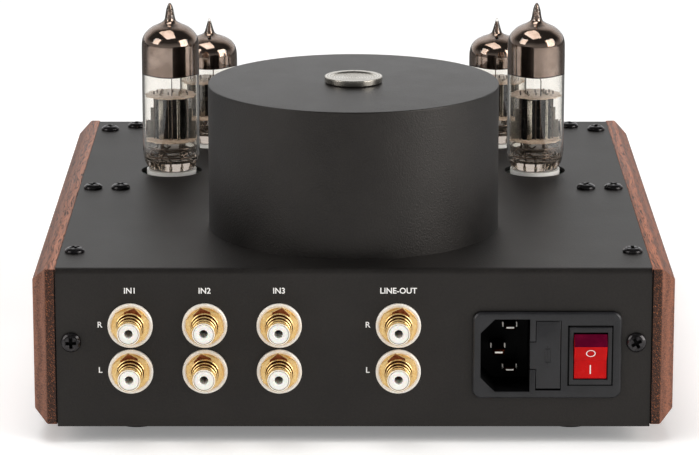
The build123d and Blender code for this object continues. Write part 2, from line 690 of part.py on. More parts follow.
# ---- Valves -----------------------------------------------------------------
# A valve's glass is turned from its outline, listed from the foot to the tip. Its foot,
# its shoulder and its sealed-off tip are cones, which stand for one round stretch each.
# The hollow lies a wall's thickness inside that outline, above the foot.
def build_valve(name, spot, outline, spacer_heights):
    """Write a valve's glass, wires, plates and mica spacers."""
    foot = lid.from_local_coords((*spot, socket_rise + seat_gap))
    seat = Plane(foot)
    section = Plane(foot, x_dir=(1, 0, 0), z_dir=(0, -1, 0))
    turning_axis = Axis(foot, (0, 0, 1))
    bulb_radius, tip_height = outline[1][0], outline[-1][1]
    bore_radius = bulb_radius - glass
    low, high = spacer_heights
    with BuildPart() as envelope:
        with BuildSketch(section):
            with BuildLine():
                Polyline((0, 0), *outline, (0, tip_height), (0, 0))
            make_face()
        revolve(axis=turning_axis)
        with BuildSketch(section):
            with BuildLine():
                Polyline((0, 0), *outline, (0, tip_height))
                mirror(about=Plane.YZ)
            make_face()
            offset(amount=-glass, kind=Kind.INTERSECTION, mode=Mode.REPLACE)
            with Locations((0, glass_foot)):
                Rectangle(
                    bulb_radius, tip_height, align=(Align.MIN, Align.MIN), mode=Mode.INTERSECT
                )
        revolve(axis=turning_axis, mode=Mode.SUBTRACT)
    envelope.part.label = f"{name}_glass"
    export_step(envelope.part, f"parts/{name}_glass.step")

    with BuildPart() as wires:
        with BuildSketch(seat):
            with PolarLocations(
                pin_circle, pin_count, angular_range=360 * pin_count / pin_stations
            ):
                RegularPolygon(pin_radius, 6)
        extrude(amount=-pin_length)
        with BuildSketch(seat.offset(glass_foot)):
            with GridLocations(rod_x, rod_y, 2, 2):
                RegularPolygon(rod_radius, 6)
        extrude(amount=high + mica + rod_end - glass_foot)
    wires.part.label = f"{name}_wires"
    export_step(wires.part, f"parts/{name}_wires.step")

    with BuildPart() as plates:
        plate_height = high - low - mica
        with BuildSketch(seat.offset(low + mica)):
            with GridLocations(2 * anode_x, 0, 2, 1):
                Rectangle(anode_width, anode_depth)
                Rectangle(
                    anode_width - 2 * anode_sheet,
                    anode_depth - 2 * anode_sheet,
                    mode=Mode.SUBTRACT,
                )
        extrude(amount=plate_height)
        for half_width, share in fin_steps:
            fin = half_width - anode_x - anode_width / 2
            with BuildSketch(seat.offset(low + mica)):
                with GridLocations(2 * half_width - fin, 0, 2, 1):
                    Rectangle(fin, anode_sheet)
            extrude(amount=share * plate_height)
    plates.part.label = f"{name}_plates"
    export_step(plates.part, f"parts/{name}_plates.step")

    with BuildPart() as spacers:
        for height in spacer_heights:
            with BuildSketch(seat.offset(height)):
                RegularPolygon(bore_radius - mica_gap, mica_sides)
                with GridLocations(rod_x, rod_y, 2, 2):
                    Rectangle(2 * rod_radius, 2 * rod_radius, mode=Mode.SUBTRACT)
            extrude(amount=mica)
    spacers.part.label = f"{name}_spacers"
    export_step(spacers.part, f"parts/{name}_spacers.step")


for name, spot in valve_spots.items():
    if name.startswith("tall"):
        build_valve(name, spot, tall_outline, tall_spacers)
    else:
        build_valve(name, spot, short_outline, short_spacers)
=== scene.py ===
"""Looks of a small valve headphone amplifier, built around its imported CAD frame."""

import json
from math import cos, pi, radians, sin, tan

import bmesh
import bpy
from bpy.props import FloatProperty, FloatVectorProperty, PointerProperty
from mathutils import Matrix, Vector


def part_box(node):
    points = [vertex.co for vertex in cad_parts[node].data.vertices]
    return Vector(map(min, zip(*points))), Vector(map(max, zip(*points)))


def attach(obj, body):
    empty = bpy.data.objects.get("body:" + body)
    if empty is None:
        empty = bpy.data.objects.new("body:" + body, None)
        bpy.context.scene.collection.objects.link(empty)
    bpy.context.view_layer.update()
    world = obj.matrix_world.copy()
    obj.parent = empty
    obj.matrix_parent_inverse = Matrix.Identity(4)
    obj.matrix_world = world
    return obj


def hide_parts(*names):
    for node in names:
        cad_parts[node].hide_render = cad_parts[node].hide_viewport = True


bl_info = {
    "name": "Valve headphone amplifier",
    "version": (1, 0, 0),
    "blender": (4, 5, 0),
    "location": "3D View > Sidebar > Amplifier",
    "description": "Builds the finished look of a valve headphone amplifier on its CAD frame",
    "category": "Object",
}

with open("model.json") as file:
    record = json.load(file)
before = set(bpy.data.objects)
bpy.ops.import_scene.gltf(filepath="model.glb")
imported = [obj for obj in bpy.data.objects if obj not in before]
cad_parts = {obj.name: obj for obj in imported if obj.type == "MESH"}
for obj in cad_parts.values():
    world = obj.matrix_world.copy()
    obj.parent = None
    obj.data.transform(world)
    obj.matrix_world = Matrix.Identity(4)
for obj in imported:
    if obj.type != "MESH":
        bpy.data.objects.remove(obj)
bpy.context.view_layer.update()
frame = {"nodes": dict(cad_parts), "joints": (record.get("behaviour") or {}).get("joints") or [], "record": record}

MM = 0.001
CREASE = 35.0  # edges sharper than this, in degrees, aren't shaded smooth
SHARP = 28.0  # edges sharper than this, in degrees, are eased
UP = Vector((0, 0, 1))
BACK = Vector((0, 1, 0))
FRONT = Vector((0, -1, 0))
finishes = {}  # every material by its name, filled by mix_finishes


# ---- Small tools ------------------------------------------------------------
def colour(code):
    """An sRGB hex code as a linear colour with full alpha."""
    parts = [int(code[i : i + 2], 16) / 255 for i in (1, 3, 5)]
    return (*(p / 12.92 if p <= 0.04045 else ((p + 0.055) / 1.055) ** 2.4 for p in parts), 1.0)


def node(tree, kind, inputs=None, **settings):
    """Adds a node with its settings. An input is a value, a socket to link from, or a node,
    whose first output is meant."""
    made = tree.nodes.new(kind)
    for key, value in settings.items():
        setattr(made, key, value)
    for key, value in (inputs or {}).items():
        if isinstance(value, bpy.types.Node):
            value = value.outputs[0]
        if isinstance(value, bpy.types.NodeSocket):
            tree.links.new(value, made.inputs[key])
        else:
            made.inputs[key].default_value = value
    return made


def middle(name):
    """The centre of a CAD node's box."""
    low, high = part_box(name)
    return (low + high) / 2


def spot(origin, out=UP, right=None):
    """A matrix from a local frame in millimetres, z along out, to the scene in metres."""
    z = Vector(out).normalized()
    level = UP.cross(z) if abs(z.dot(UP)) < 0.9 else Vector((1, 0, 0))
    x = Vector(right) if right else level
    x = (x - z * x.dot(z)).normalized()
    turn = Matrix((x, z.cross(x), z)).transposed().to_4x4()
    return Matrix.Translation(origin) @ turn @ Matrix.Scale(MM, 4)


def eased(points, radius, steps=4, closed=False):
    """A flat outline with its corners rounded, less where a side is short."""
    line = [Vector(p) for p in points]
    out = []
    for i, corner in enumerate(line):
        if not closed and i in (0, len(line) - 1):
            out.append(corner)
            continue
        back, on = line[i - 1] - corner, line[(i + 1) % len(line)] - corner
        turn = back.angle(on)
        if turn > radians(172):
            out.append(corner)
            continue
        cut = min(radius / tan(turn / 2), 0.45 * back.length, 0.45 * on.length)
        start, end = corner + back.normalized() * cut, corner + on.normalized() * cut
        for k in range(steps + 1):
            t = k / steps
            out.append(start * (1 - t) ** 2 + corner * (2 * t * (1 - t)) + end * t * t)
    return out


def flowing(points, steps=6):
    """A smooth curve through every point of a profile."""
    line = [Vector(p) for p in points]
    out = [line[0]]
    for i in range(len(line) - 1):
        a, b, c, d = line[max(i - 1, 0)], line[i], line[i + 1], line[min(i + 2, len(line) - 1)]
        for k in range(1, steps + 1):
            t = k / steps
            out.append(
                0.5 * (2 * b + (c - a) * t + (2 * a - 5 * b + 4 * c - d) * t * t
                       + (3 * b - a - 3 * c + d) * t ** 3)
            )
    return out


def circle(radius, count, start=0.0):
    """Points round a circle, counted from the local x axis."""
    angles = [2 * pi * i / count + start for i in range(count)]
    return [(radius * cos(a), radius * sin(a)) for a in angles]


def rectangle(width, height, x=0.0, y=0.0):
    """The corners of a rectangle about (x, y)."""
    return [(x + sx * width / 2, y + sy * height / 2) for sx, sy in ((-1, -1), (1, -1), (1, 1), (-1, 1))]


def lathe(mesh, profile, place, turns=64, closed=False, paint=0):
    """Turns a profile of (radius, height) about the local z axis of place."""
    rings = []
    for radius, height in profile:
        around = [(x, y, height) for x, y in circle(radius, turns)]
        if radius < 1e-6:
            around = [(0, 0, height)]
        rings.append([mesh.verts.new(place @ Vector(p)) for p in around])
    pairs = list(zip(rings, rings[1:])) + ([(rings[-1], rings[0])] if closed else [])
    for low, high in pairs:
        if len(low) == len(high) == 1:
            continue
        for i in range(turns):
            j = (i + 1) % turns
            corners = [low[i % len(low)], low[j % len(low)], high[j % len(high)], high[i % len(high)]]
            face = mesh.faces.new(list(dict.fromkeys(corners)))  # three corners at a pole
            face.material_index = paint


def prism(mesh, outline, low, high, place, ease=0.0, paint=0):
    """Extrudes a flat outline along the local z axis, with its top and bottom edges eased."""
    centre = sum((Vector(p) for p in outline), Vector((0, 0))) / len(outline)
    levels = [(0.0, low), (0.0, high)]
    if ease:
        levels = [(ease, low), (ease * 0.3, low + ease * 0.3), (0.0, low + ease),
                  (0.0, high - ease), (ease * 0.3, high - ease * 0.3), (ease, high)]
    rings = []
    for inward, height in levels:
        ring = []
        for p in outline:
            step = Vector(p) - centre
            cut = [inward * (1 if s > 0 else -1) * min(1, abs(s) / 0.5) for s in step]
            ring.append(mesh.verts.new(place @ Vector((*(Vector(p) - Vector(cut)), height))))
        rings.append(ring)
    made = [mesh.faces.new(rings[0][::-1]), mesh.faces.new(rings[-1])]
    for below, above in zip(rings, rings[1:]):
        for i in range(len(outline)):
            j = (i + 1) % len(outline)
            made.append(mesh.faces.new((below[i], below[j], above[j], above[i])))
    for face in made:
        face.material_index = paint


def wire(mesh, points, radius, place, sides=8, paint=0):
    """A round wire along a line of points."""
    line = [Vector(p) for p in points]
    rings = []
    side = None
    for i, p in enumerate(line):
        along = (line[min(i + 1, len(line) - 1)] - line[max(i - 1, 0)]).normalized()
        if side is None:
            side = along.orthogonal().normalized()
        side = (side - along * side.dot(along)).normalized()
        over = along.cross(side)
        ring = [p + side * x + over * y for x, y in circle(radius, sides)]
        rings.append([mesh.verts.new(place @ q) for q in ring])
    made = [mesh.faces.new(rings[0][::-1]), mesh.faces.new(rings[-1])]
    for low, high in zip(rings, rings[1:]):
        for k in range(sides):
            m = (k + 1) % sides
            made.append(mesh.faces.new((low[k], low[m], high[m], high[k])))
    for face in made:
        face.material_index = paint


def solid(name, mesh, coats, hollow=False):
    """The finished mesh data of a shape. A hollow shape keeps the sides its faces were made
    with, as its inner skin has to face inward."""
    if not hollow:
        bmesh.ops.recalc_face_normals(mesh, faces=mesh.faces)
    data = bpy.data.meshes.new(name)
    mesh.to_mesh(data)
    mesh.free()
    for coat in coats:
        data.materials.append(coat)
    return data


def placed(name, data):
    """A new object in the scene that holds a mesh, a word, a lamp or a camera."""
    made = bpy.data.objects.new(name, data)
    bpy.context.scene.collection.objects.link(made)
    return made


def piece(name, mesh, coats, body, stands_for=(), hollow=False):
    """Makes the finished object of a shape from names of finishes, and ties it to its body."""
    data = solid(name, mesh, [finishes[k] for k in coats], hollow)
    data.shade_smooth()
    data.set_sharp_from_angle(angle=radians(CREASE))
    made = placed(name, data)
    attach(made, body)
    if stands_for:
        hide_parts(*stands_for)
    return made


def softened(cad_node, name, coats, body, ease=0.3, steps=2):
    """A CAD node's own shape with its sharp edges eased, in millimetres."""
    mesh = bmesh.new()
    mesh.from_mesh(frame["nodes"][cad_node].data)
    bmesh.ops.remove_doubles(mesh, verts=mesh.verts, dist=1e-6)
    bmesh.ops.dissolve_limit(mesh, angle_limit=radians(1), verts=mesh.verts, edges=mesh.edges)
    sharp = [e for e in mesh.edges if len(e.link_faces) == 2 and e.calc_face_angle() > radians(SHARP)]
    bmesh.ops.bevel(mesh, geom=sharp, offset=ease * MM, segments=steps, profile=0.5,
                    affect="EDGES", clamp_overlap=True)
    return piece(name, mesh, coats, body, (cad_node,))


def slimmed(made, centre, wide, high, gap):
    """Draws the outer sides of a moulding in by a gap, in millimetres, so it stands free. The
    sides are the points further from its centre than wide across or high up and down."""
    for v in made.data.vertices:
        off = (v.co - centre) / MM
        if abs(off.x) > wide:
            v.co.x -= gap * MM * (1 if off.x > 0 else -1)
        if abs(off.z) > high:
            v.co.z -= gap * MM * (1 if off.z > 0 else -1)


# ---- Finishes ---------------------------------------------------------------
def blank(name):
    """A new material: its tree, its Principled shader and its object coordinates."""
    made = bpy.data.materials.new(name)
    made.use_nodes = True
    tree = made.node_tree
    tree.nodes.clear()
    shader = node(tree, "ShaderNodeBsdfPrincipled")
    node(tree, "ShaderNodeOutputMaterial", {"Surface": shader})
    return made, tree, shader, node(tree, "ShaderNodeTexCoord").outputs["Object"]


def dress(tree, shader, shade, gloss, bump, **sockets):
    """Links colour, gloss and relief to a shader, and sets what is the same all over."""
    tree.links.new(shade.outputs[2], shader.inputs["Base Color"])
    tree.links.new(gloss.outputs[0], shader.inputs["Roughness"])
    tree.links.new(bump.outputs[0], shader.inputs["Normal"])
    for key, value in sockets.items():
        shader.inputs[key.replace("_", " ")].default_value = value


def skin(name, dark, light, grain, roughness, relief, drift=30.0, spread=0.1, **sockets):
    """A moulded, painted or plated skin. Its colour drifts between two shades over drift
    millimetres, its relief has a grain of that many millimetres and is that deep, and its
    roughness varies by spread."""
    made, tree, shader, place = blank(name)
    fine = node(tree, "ShaderNodeTexNoise",
                {"Vector": place, "Scale": 1 / (grain * MM), "Detail": 2.0, "Roughness": 0.55})
    broad = node(tree, "ShaderNodeTexNoise",
                 {"Vector": place, "Scale": 1 / (drift * MM), "Detail": 3.0, "Roughness": 0.6})
    both = node(tree, "ShaderNodeMath", {0: fine, 1: broad}, operation="ADD")
    share = node(tree, "ShaderNodeMapRange",
                 {"Value": both, "From Min": 0.75, "From Max": 1.25})
    shade = node(tree, "ShaderNodeMix", {0: share, 6: dark, 7: light}, data_type="RGBA")
    gloss = node(tree, "ShaderNodeMapRange",
                 {"Value": broad, "From Min": 0.3, "From Max": 0.7,
                  "To Min": max(roughness - spread / 2, 0.02), "To Max": roughness + spread / 2})
    bump = node(tree, "ShaderNodeBump",
                {"Height": fine, "Distance": relief * MM, "Strength": 1.0})
    dress(tree, shader, shade, gloss, bump, **sockets)
    return made


def turned(name, dark, light, pitch, roughness, relief, centre, out):
    """Metal turned on a lathe: fine rings of that pitch about an axis, with a little waver."""
    made, tree, shader, place = blank(name)
    shifted = node(tree, "ShaderNodeVectorMath", {0: place, 1: centre}, operation="SUBTRACT")
    direction = "Z" if abs(Vector(out).dot(UP)) > 0.5 else "Y"
    rings = node(tree, "ShaderNodeTexWave",
                 {"Vector": shifted, "Scale": 2 * pi / (20 * pitch * MM),
                  "Distortion": 1.5, "Detail": 2.0, "Detail Scale": 0.6},
                 wave_type="RINGS", rings_direction=direction)
    broad = node(tree, "ShaderNodeTexNoise", {"Vector": place, "Scale": 1 / (6 * MM), "Detail": 3.0})
    shade = node(tree, "ShaderNodeMix", {0: rings.outputs[1], 6: dark, 7: light}, data_type="RGBA")
    gloss = node(tree, "ShaderNodeMapRange",
                 {"Value": broad, "From Min": 0.3, "From Max": 0.7,
                  "To Min": roughness * 0.8, "To Max": roughness * 1.2})
    bump = node(tree, "ShaderNodeBump",
                {"Height": rings.outputs[1], "Distance": relief * MM, "Strength": 1.0})
    dress(tree, shader, shade, gloss, bump, Metallic=1.0)
    return made


def oiled_oak(look, name, light):
    """Stained and oiled oak, planed and sanded. Its fibre and its open pores run along the
    cheek: short dark lines on the long faces, specks where the ends cut across them. Bevels
    and ends drink more stain, and the rays show on the ends as fine slanting flecks."""
    made, tree, shader, place = blank(name)
    # The board bends over 35 mm. Its growth rings are 3.4 mm apart, its fibre 0.55 mm.
    warp = node(tree, "ShaderNodeTexNoise", {"Vector": place, "Scale": 1 / (35 * MM), "Detail": 2.0})
    bent = node(tree, "ShaderNodeVectorMath", {0: warp.outputs[1], 1: (0.004, 0.0, 0.004), 2: place},
                operation="MULTIPLY_ADD")
    along = node(tree, "ShaderNodeMapping", {"Vector": bent, "Scale": (1.0, 0.05, 1.0)})
    dashes = node(tree, "ShaderNodeMapping", {"Vector": bent, "Scale": (1.0, 0.07, 1.0)})
    slanted = node(tree, "ShaderNodeMapping",
                   {"Vector": place, "Rotation": (0.0, radians(38), 0.0), "Scale": (0.16, 0.3, 1.0)},
                   vector_type="TEXTURE")
    rings = node(tree, "ShaderNodeTexWave",
                 {"Vector": along, "Scale": 2 * pi / (20 * 3.4 * MM), "Distortion": 2.0,
                  "Detail": 2.0, "Detail Scale": 1.2, "Phase Offset": 1.0},
                 wave_type="BANDS", bands_direction="X", wave_profile="SIN")
    fibre = node(tree, "ShaderNodeTexNoise",
                 {"Vector": along, "Scale": 1 / (0.55 * MM), "Detail": 3.0, "Roughness": 0.75})
    pores = node(tree, "ShaderNodeTexNoise",
                 {"Vector": dashes, "Scale": 1 / (0.5 * MM), "Detail": 1.0, "Roughness": 0.5})
    rays = node(tree, "ShaderNodeTexNoise",
                {"Vector": slanted, "Scale": 1 / (0.75 * MM), "Detail": 1.0, "Roughness": 0.4})
    patch = node(tree, "ShaderNodeTexNoise", {"Vector": place, "Scale": 1 / (12 * MM), "Detail": 2.0})
    # Which way a face looks: an end along y, a bevel along no axis.
    bare = node(tree, "ShaderNodeVectorMath",
                {0: node(tree, "ShaderNodeNewGeometry").outputs["Normal"]}, operation="ABSOLUTE")
    facing = node(tree, "ShaderNodeSeparateXYZ", {0: bare})
    across = facing.outputs[1]
    flat = node(tree, "ShaderNodeMath", {0: facing, 1: facing.outputs[1]}, operation="MAXIMUM")
    flat = node(tree, "ShaderNodeMath", {0: flat, 1: facing.outputs[2]}, operation="MAXIMUM")
    bevel = node(tree, "ShaderNodeMapRange",
                 {"Value": flat, "From Min": 0.95, "From Max": 0.8, "To Max": 0.42})
    end = node(tree, "ShaderNodeMapRange", {"Value": across, "From Min": 0.78, "From Max": 0.97})
    grain = node(tree, "ShaderNodeMath", {0: rings.outputs[1], 1: 0.15, 2: fibre},
                 operation="MULTIPLY_ADD")
    share = node(tree, "ShaderNodeMapRange", {"Value": grain, "From Min": 0.35, "From Max": 0.72})
    long_wood = node(tree, "ShaderNodeMix", {0: share, 6: look.wood_dark, 7: light},
                     data_type="RGBA")
    streak = node(tree, "ShaderNodeMapRange", {"Value": rays, "From Min": 0.38, "From Max": 0.66})
    end_wood = node(tree, "ShaderNodeMix", {0: streak, 6: look.wood_pore, 7: look.wood_end},
                    data_type="RGBA")
    stained = node(tree, "ShaderNodeMix", {0: bevel, 6: long_wood.outputs[2], 7: look.wood_dark},
                   data_type="RGBA")
    wood = node(tree, "ShaderNodeMix", {0: end, 6: stained.outputs[2], 7: end_wood.outputs[2]},
                data_type="RGBA")
    fleck = node(tree, "ShaderNodeMapRange", {"Value": rays, "From Min": 0.63, "From Max": 0.7})
    shown = node(tree, "ShaderNodeMath", {0: fleck, 1: across}, operation="MULTIPLY")
    rayed = node(tree, "ShaderNodeMix", {0: shown, 6: wood.outputs[2], 7: look.wood_ray},
                 data_type="RGBA")
    open_grain = node(tree, "ShaderNodeMapRange",
                      {"Value": pores, "From Min": 0.56, "From Max": 0.68, "To Max": 1.5})
    closed = node(tree, "ShaderNodeMapRange", {"Value": across, "To Min": 1.0, "To Max": 0.2})
    weight = node(tree, "ShaderNodeMath", {0: patch, 1: closed}, operation="MULTIPLY")
    cut = node(tree, "ShaderNodeMath", {0: open_grain, 1: weight},
               operation="MULTIPLY", use_clamp=True)
    shade = node(tree, "ShaderNodeMix", {0: cut, 6: rayed.outputs[2], 7: look.wood_pore},
                 data_type="RGBA")
    height = node(tree, "ShaderNodeMath", {0: cut, 1: -1.5, 2: fibre},
                  operation="MULTIPLY_ADD")
    bump = node(tree, "ShaderNodeBump", {"Height": height, "Distance": 0.1 * MM, "Strength": 1.0})
    gloss = node(tree, "ShaderNodeMapRange",
                 {"Value": fibre, "From Min": 0.3, "From Max": 0.7, "To Min": 0.42, "To Max": 0.6})
    dress(tree, shader, shade, gloss, bump, Specular_IOR_Level=0.3)
    return made


def clear(name, tint, roughness=0.0, ior=1.5, speck=0.4):
    """Clear glass or plastic, with a faint waver of its surface so that it isn't perfect."""
    made, tree, shader, place = blank(name)
    waver = node(tree, "ShaderNodeTexNoise", {"Vector": place, "Scale": 1 / (7 * MM), "Detail": 1.0})
    bump = node(tree, "ShaderNodeBump",
                {"Height": waver, "Distance": 0.02 * MM, "Strength": speck})
    tree.links.new(bump.outputs[0], shader.inputs["Normal"])
    for key, value in {"Base Color": colour(tint), "Roughness": roughness, "IOR": ior,
                       "Transmission Weight": 1.0}.items():
        shader.inputs[key].default_value = value
    return made


def mixed(name, dark, light, grain, roughness, relief, **more):
    """Mixes a skin from two hex codes and keeps it under its name. Grain and relief are in
    millimetres; a grain too fine to show is drawn as coarse as it needs to show."""
    finishes[name] = skin(name, colour(dark), colour(light), grain, roughness, relief, **more)


def mix_finishes(look):
    """Makes every finish once and keeps it under its name."""
    # Powder coat, baked polyester: near black, with a fine orange-peel sparkle, and a mirror
    # image that is a touch warm. On the drum its mottle is coarser.
    coat = {"Specular_IOR_Level": 0.5, "Specular_Tint": colour("#fff9f4"), "spread": 0.04}
    finishes["powder_coat"] = skin("powder_coat", look.coat, look.coat_light, 0.7, 0.5, 0.1, **coat)
    finishes["cover_paint"] = skin("cover_paint", look.coat, look.coat_light, 0.55, 0.42, 0.12,
                                   drift=12.0, **coat)
    # Oiled oak: the two cheeks come from two boards, the left one more orange.
    finishes["oiled_wood"] = oiled_oak(look, "oiled_oak", look.wood_light)
    finishes["oiled_wood_left"] = oiled_oak(look, "oiled_red_oak", colour("#b6755a"))
    # The arris of a cheek beside the case, painted as a matt black line: painted shade of the gap between cheek
    # and case.
    mixed("cheek_gap_shade", "#050404", "#0c0908", 0.4, 0.8, 0.01, Specular_IOR_Level=0.1)
    # Moulded rubber: dead matt.
    mixed("foot_rubber", "#0b0b0b", "#1a1a1a", 0.5, 0.8, 0.03)
    mixed("pad_rubber", "#101010", "#1c1c1c", 0.4, 0.85, 0.03)
    # Polyester tape wound on the toroid: amber film with overlapping turns.
    mixed("winding_tape", "#a97f22", "#d0a238", 5.0, 0.35, 0.2, drift=9.0)
    # Zinc plate: a grey-blue mottle.
    mixed("zinc_steel", "#9a9a98", "#c4c4c0", 1.2, 0.35, 0.01, drift=4.0, Metallic=1.0)
    # Nickel turned on a lathe: soft rings round the cap's middle.
    finishes["turned_nickel"] = turned("turned_nickel", colour("#b0aba2"), colour("#dcd7ce"), 0.9,
                                       0.26, 0.035, middle("transformer_cover"), UP)
    # Screws with a black oxide finish: dark metal, oily sheen.
    mixed("black_steel", "#2c2b2c", "#4a4849", 0.4, 0.2, 0.008, drift=3.0, Metallic=0.9)
    # Their cross recess, painted dull near black: painted shade.
    mixed("punched_recess_shade", "#0b0b0b", "#151414", 0.3, 0.7, 0.004, drift=2.0, Specular_IOR_Level=0.1)
    # Gold flash over nickel: warm, nearly a mirror.
    mixed("gold_plate", "#f0c47a", "#ffdf9e", 0.8, 0.22, 0.0004, drift=4.0, Metallic=0.65)
    # The flanges' rims and the barrels' ends, painted pale cream: a painted highlight.
    mixed("gold_rim_highlight", "#fff3e2", "#fffdf8", 0.6, 0.35, 0.001, drift=3.0, Metallic=0.25)
    # Plate deep in a groove or on the flank of a blade, painted near black-brown: painted shade and a painted dark
    # reflection.
    mixed("gold_groove_shade", "#2a0d06", "#5a2614", 0.6, 0.35, 0.0005, drift=3.0, Metallic=1.0)
    # Plate on the nut's upper corner, painted dark brown: a painted reflection of the barrel.
    mixed("gold_shade", "#6e3018", "#9a5a34", 0.6, 0.3, 0.0005, drift=1.5, Metallic=0.65)
    # Turned PTFE: soft white, waxy.
    mixed("white_ptfe", "#f3f0e9", "#fbf9f4", 0.4, 0.4, 0.005,
          Subsurface_Weight=0.15, Subsurface_Scale=0.001)
    # Glass-filled nylon, moulded: a faint sparkle in black.
    mixed("black_nylon", "#151517", "#232326", 0.35, 0.34, 0.012, drift=8.0)
    # The same nylon deep inside the recesses, painted near black: painted shade.
    mixed("nylon_recess_shade", "#040405", "#070708", 0.5, 0.6, 0.02, Specular_IOR_Level=0.1)
    # Nickel plate on brass, drawn and cropped: pale, half bright.
    mixed("nickel_blade", "#e2ded6", "#f6f3ec", 0.5, 0.35, 0.004, drift=3.0, Metallic=0.6)
    # Drawn glass tube of the fuse: clear, with a faint waver.
    finishes["fuse_glass"] = clear("fuse_glass", "#f4f8f6")
    # Polycarbonate, moulded and polished: glossy red, lit by the room only.
    mixed("red_rocker", "#bc0507", "#ca0a0a", 3.0, 0.25, 0.001, drift=9.0, Specular_IOR_Level=0.12)
    # Where the same plastic turns away into the switch, painted a deep wine red: painted shade.
    mixed("red_skirt_shade", "#44001a", "#5a0422", 3.0, 0.5, 0.001, drift=9.0, Specular_IOR_Level=0.02)
    # Solder resist on a glass-epoxy board: green, half gloss.
    mixed("circuit_board", "#123a1e", "#1a4e2a", 1.0, 0.35, 0.03, drift=10.0)
    # Steatite, pressed and fired: off white, slightly glazed.
    mixed("steatite", "#fbf7ef", "#fffefa", 0.5, 0.35, 0.01, drift=5.0)
    # Shrunk PVC sleeve: smooth blue-black.
    mixed("capacitor_sleeve", "#14161c", "#20242e", 2.0, 0.28, 0.01)
    # Epoxy-dipped film: glossy red-brown.
    mixed("capacitor_film", "#a8331f", "#c24a30", 2.0, 0.3, 0.02)
    # Bead-blasted and turned aluminium: pale grey satin.
    mixed("turned_aluminium", "#b8b8ba", "#d4d4d6", 0.3, 0.28, 0.004, drift=6.0, Metallic=1.0)
    # Acrylic lens over the pilot lamp: amber, clear.
    finishes["lamp_lens"] = clear("lamp_lens", "#ffb35c", 0.1)
    # Blown soda glass: clear, a breath of brown.
    finishes["valve_glass"] = clear("valve_glass", "#f9f7f3")
    # The same glass at its foot, pressed thick round the pins and full of small strains.
    finishes["foot_glass"] = clear("foot_glass", "#c6bab0", 0.1, speck=1.0)
    # Drawn nickel wire: bright.
    mixed("nickel_wire", "#b9b3a8", "#d8d3c8", 0.4, 0.22, 0.004, drift=2.0, Metallic=1.0)
    # The same wire near the foot, dulled by sealing.
    mixed("dull_wire", "#5e534c", "#9a8b80", 0.5, 0.4, 0.01, drift=1.5, Metallic=0.8)
    # Carbonised nickel anodes: nearly black, a little sheen.
    mixed("anode_nickel", "#0d0b0b", "#201d1c", 0.5, 0.35, 0.01, drift=3.0, Metallic=0.5)
    # Their cooling fins, painted lighter grey: a painted reflection.
    mixed("fin_nickel_reflection", "#77726a", "#99938a", 0.5, 0.45, 0.01, drift=3.0, Metallic=0.6)
    # Mica, split into sheets: pink-cream, brown where they are thick.
    mixed("mica", "#d6b79f", "#f5e2cf", 0.8, 0.3, 0.02, drift=2.5)
    # Barium flash: a brown-grey mirror on the inside of the glass.
    mixed("barium_flash", "#877468", "#a8958a", 6.0, 0.05, 0.004, drift=12.0, spread=0.03,
          Metallic=1.0, Specular_Tint=colour("#6b5d55"))
    # Its thin lower edge, where it burns brown.
    mixed("flash_edge", "#2b1b14", "#3d2a20", 1.0, 0.2, 0.004, drift=3.0, Metallic=0.4)
    # Screen ink: flat white.
    mixed("screen_ink", "#f2f0ec", "#ffffff", 0.3, 0.6, 0.004)


# ---- Sizes and colours a user would change ----------------------------------
class AmplifierLook(bpy.types.PropertyGroup):
    """The colours of the finishes, as sRGB hex codes, and the main trim sizes."""

    coat: FloatVectorProperty(
        name="Coat", description="Powder coat in its hollows",
        subtype="COLOR", size=4, min=0.0, max=1.0, default=colour("#0a0909"))
    coat_light: FloatVectorProperty(
        name="Coat grain", description="Powder coat on its grains",
        subtype="COLOR", size=4, min=0.0, max=1.0, default=colour("#191716"))
    wood_dark: FloatVectorProperty(
        name="Wood, late growth", description="Dark bands of the cheeks",
        subtype="COLOR", size=4, min=0.0, max=1.0, default=colour("#4a2f25"))
    wood_light: FloatVectorProperty(
        name="Wood, early growth", description="Light bands of the cheeks",
        subtype="COLOR", size=4, min=0.0, max=1.0, default=colour("#b57d66"))
    wood_end: FloatVectorProperty(
        name="Wood, end grain", description="Light parts of the cheeks' ends",
        subtype="COLOR", size=4, min=0.0, max=1.0, default=colour("#523426"))
    wood_ray: FloatVectorProperty(
        name="Wood rays", description="Flecks across the cheeks' ends",
        subtype="COLOR", size=4, min=0.0, max=1.0, default=colour("#b96d40"))
    wood_pore: FloatVectorProperty(
        name="Wood pores", description="Open pores of the cheeks",
        subtype="COLOR", size=4, min=0.0, max=1.0, default=colour("#241511"))
    screw_radius: FloatProperty(
        name="Screw head", description="Radius of the case screws' heads",
        default=3.4 * MM, unit="LENGTH", subtype="DISTANCE")
    letter_height: FloatProperty(
        name="Lettering", description="Height of the rear panel's capitals",
        default=1.95 * MM, unit="LENGTH", subtype="DISTANCE")
    camera_height: FloatProperty(
        name="Camera height", description="Camera above the top plate",
        default=0.311, unit="LENGTH", subtype="DISTANCE")
    camera_distance: FloatProperty(
        name="Camera distance", description="Camera behind the rear panel",
        default=1.201, unit="LENGTH", subtype="DISTANCE")


# ---- Pieces -----------------------------------------------------------------
# Bare sizes below are in millimetres, as on a maker's drawing.
case_low, case_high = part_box("top_shell")
rear_y, front_y, top_z = case_high.y, case_low.y, case_high.z
pin_mounts = [Vector(m["pos_m"]) for m in frame["record"]["mounts"] if m["kind"] == "pin"]


class AMPLIFIER_OT_finishes(bpy.types.Operator):
    """Mix every finish and give each CAD part its own"""

    bl_idname = "amplifier.finishes"
    bl_label = "Finishes"

    def execute(self, context):
        mix_finishes(context.scene.amplifier)
        for part in frame["record"]["subparts"]:
            data = frame["nodes"][part["node"]].data
            data.materials.clear()
            data.materials.append(finishes[part["material_slot"]])
        return {"FINISHED"}


# The case screws: how far they sit from the middle, behind the rear edge and under the top.
SIDE_X, SIDE_ROWS = 95, (23, 117.5, 217)
BOARD_X, BOARD_ROWS = 85, (117.5, 223)
END_DROP = 25.5
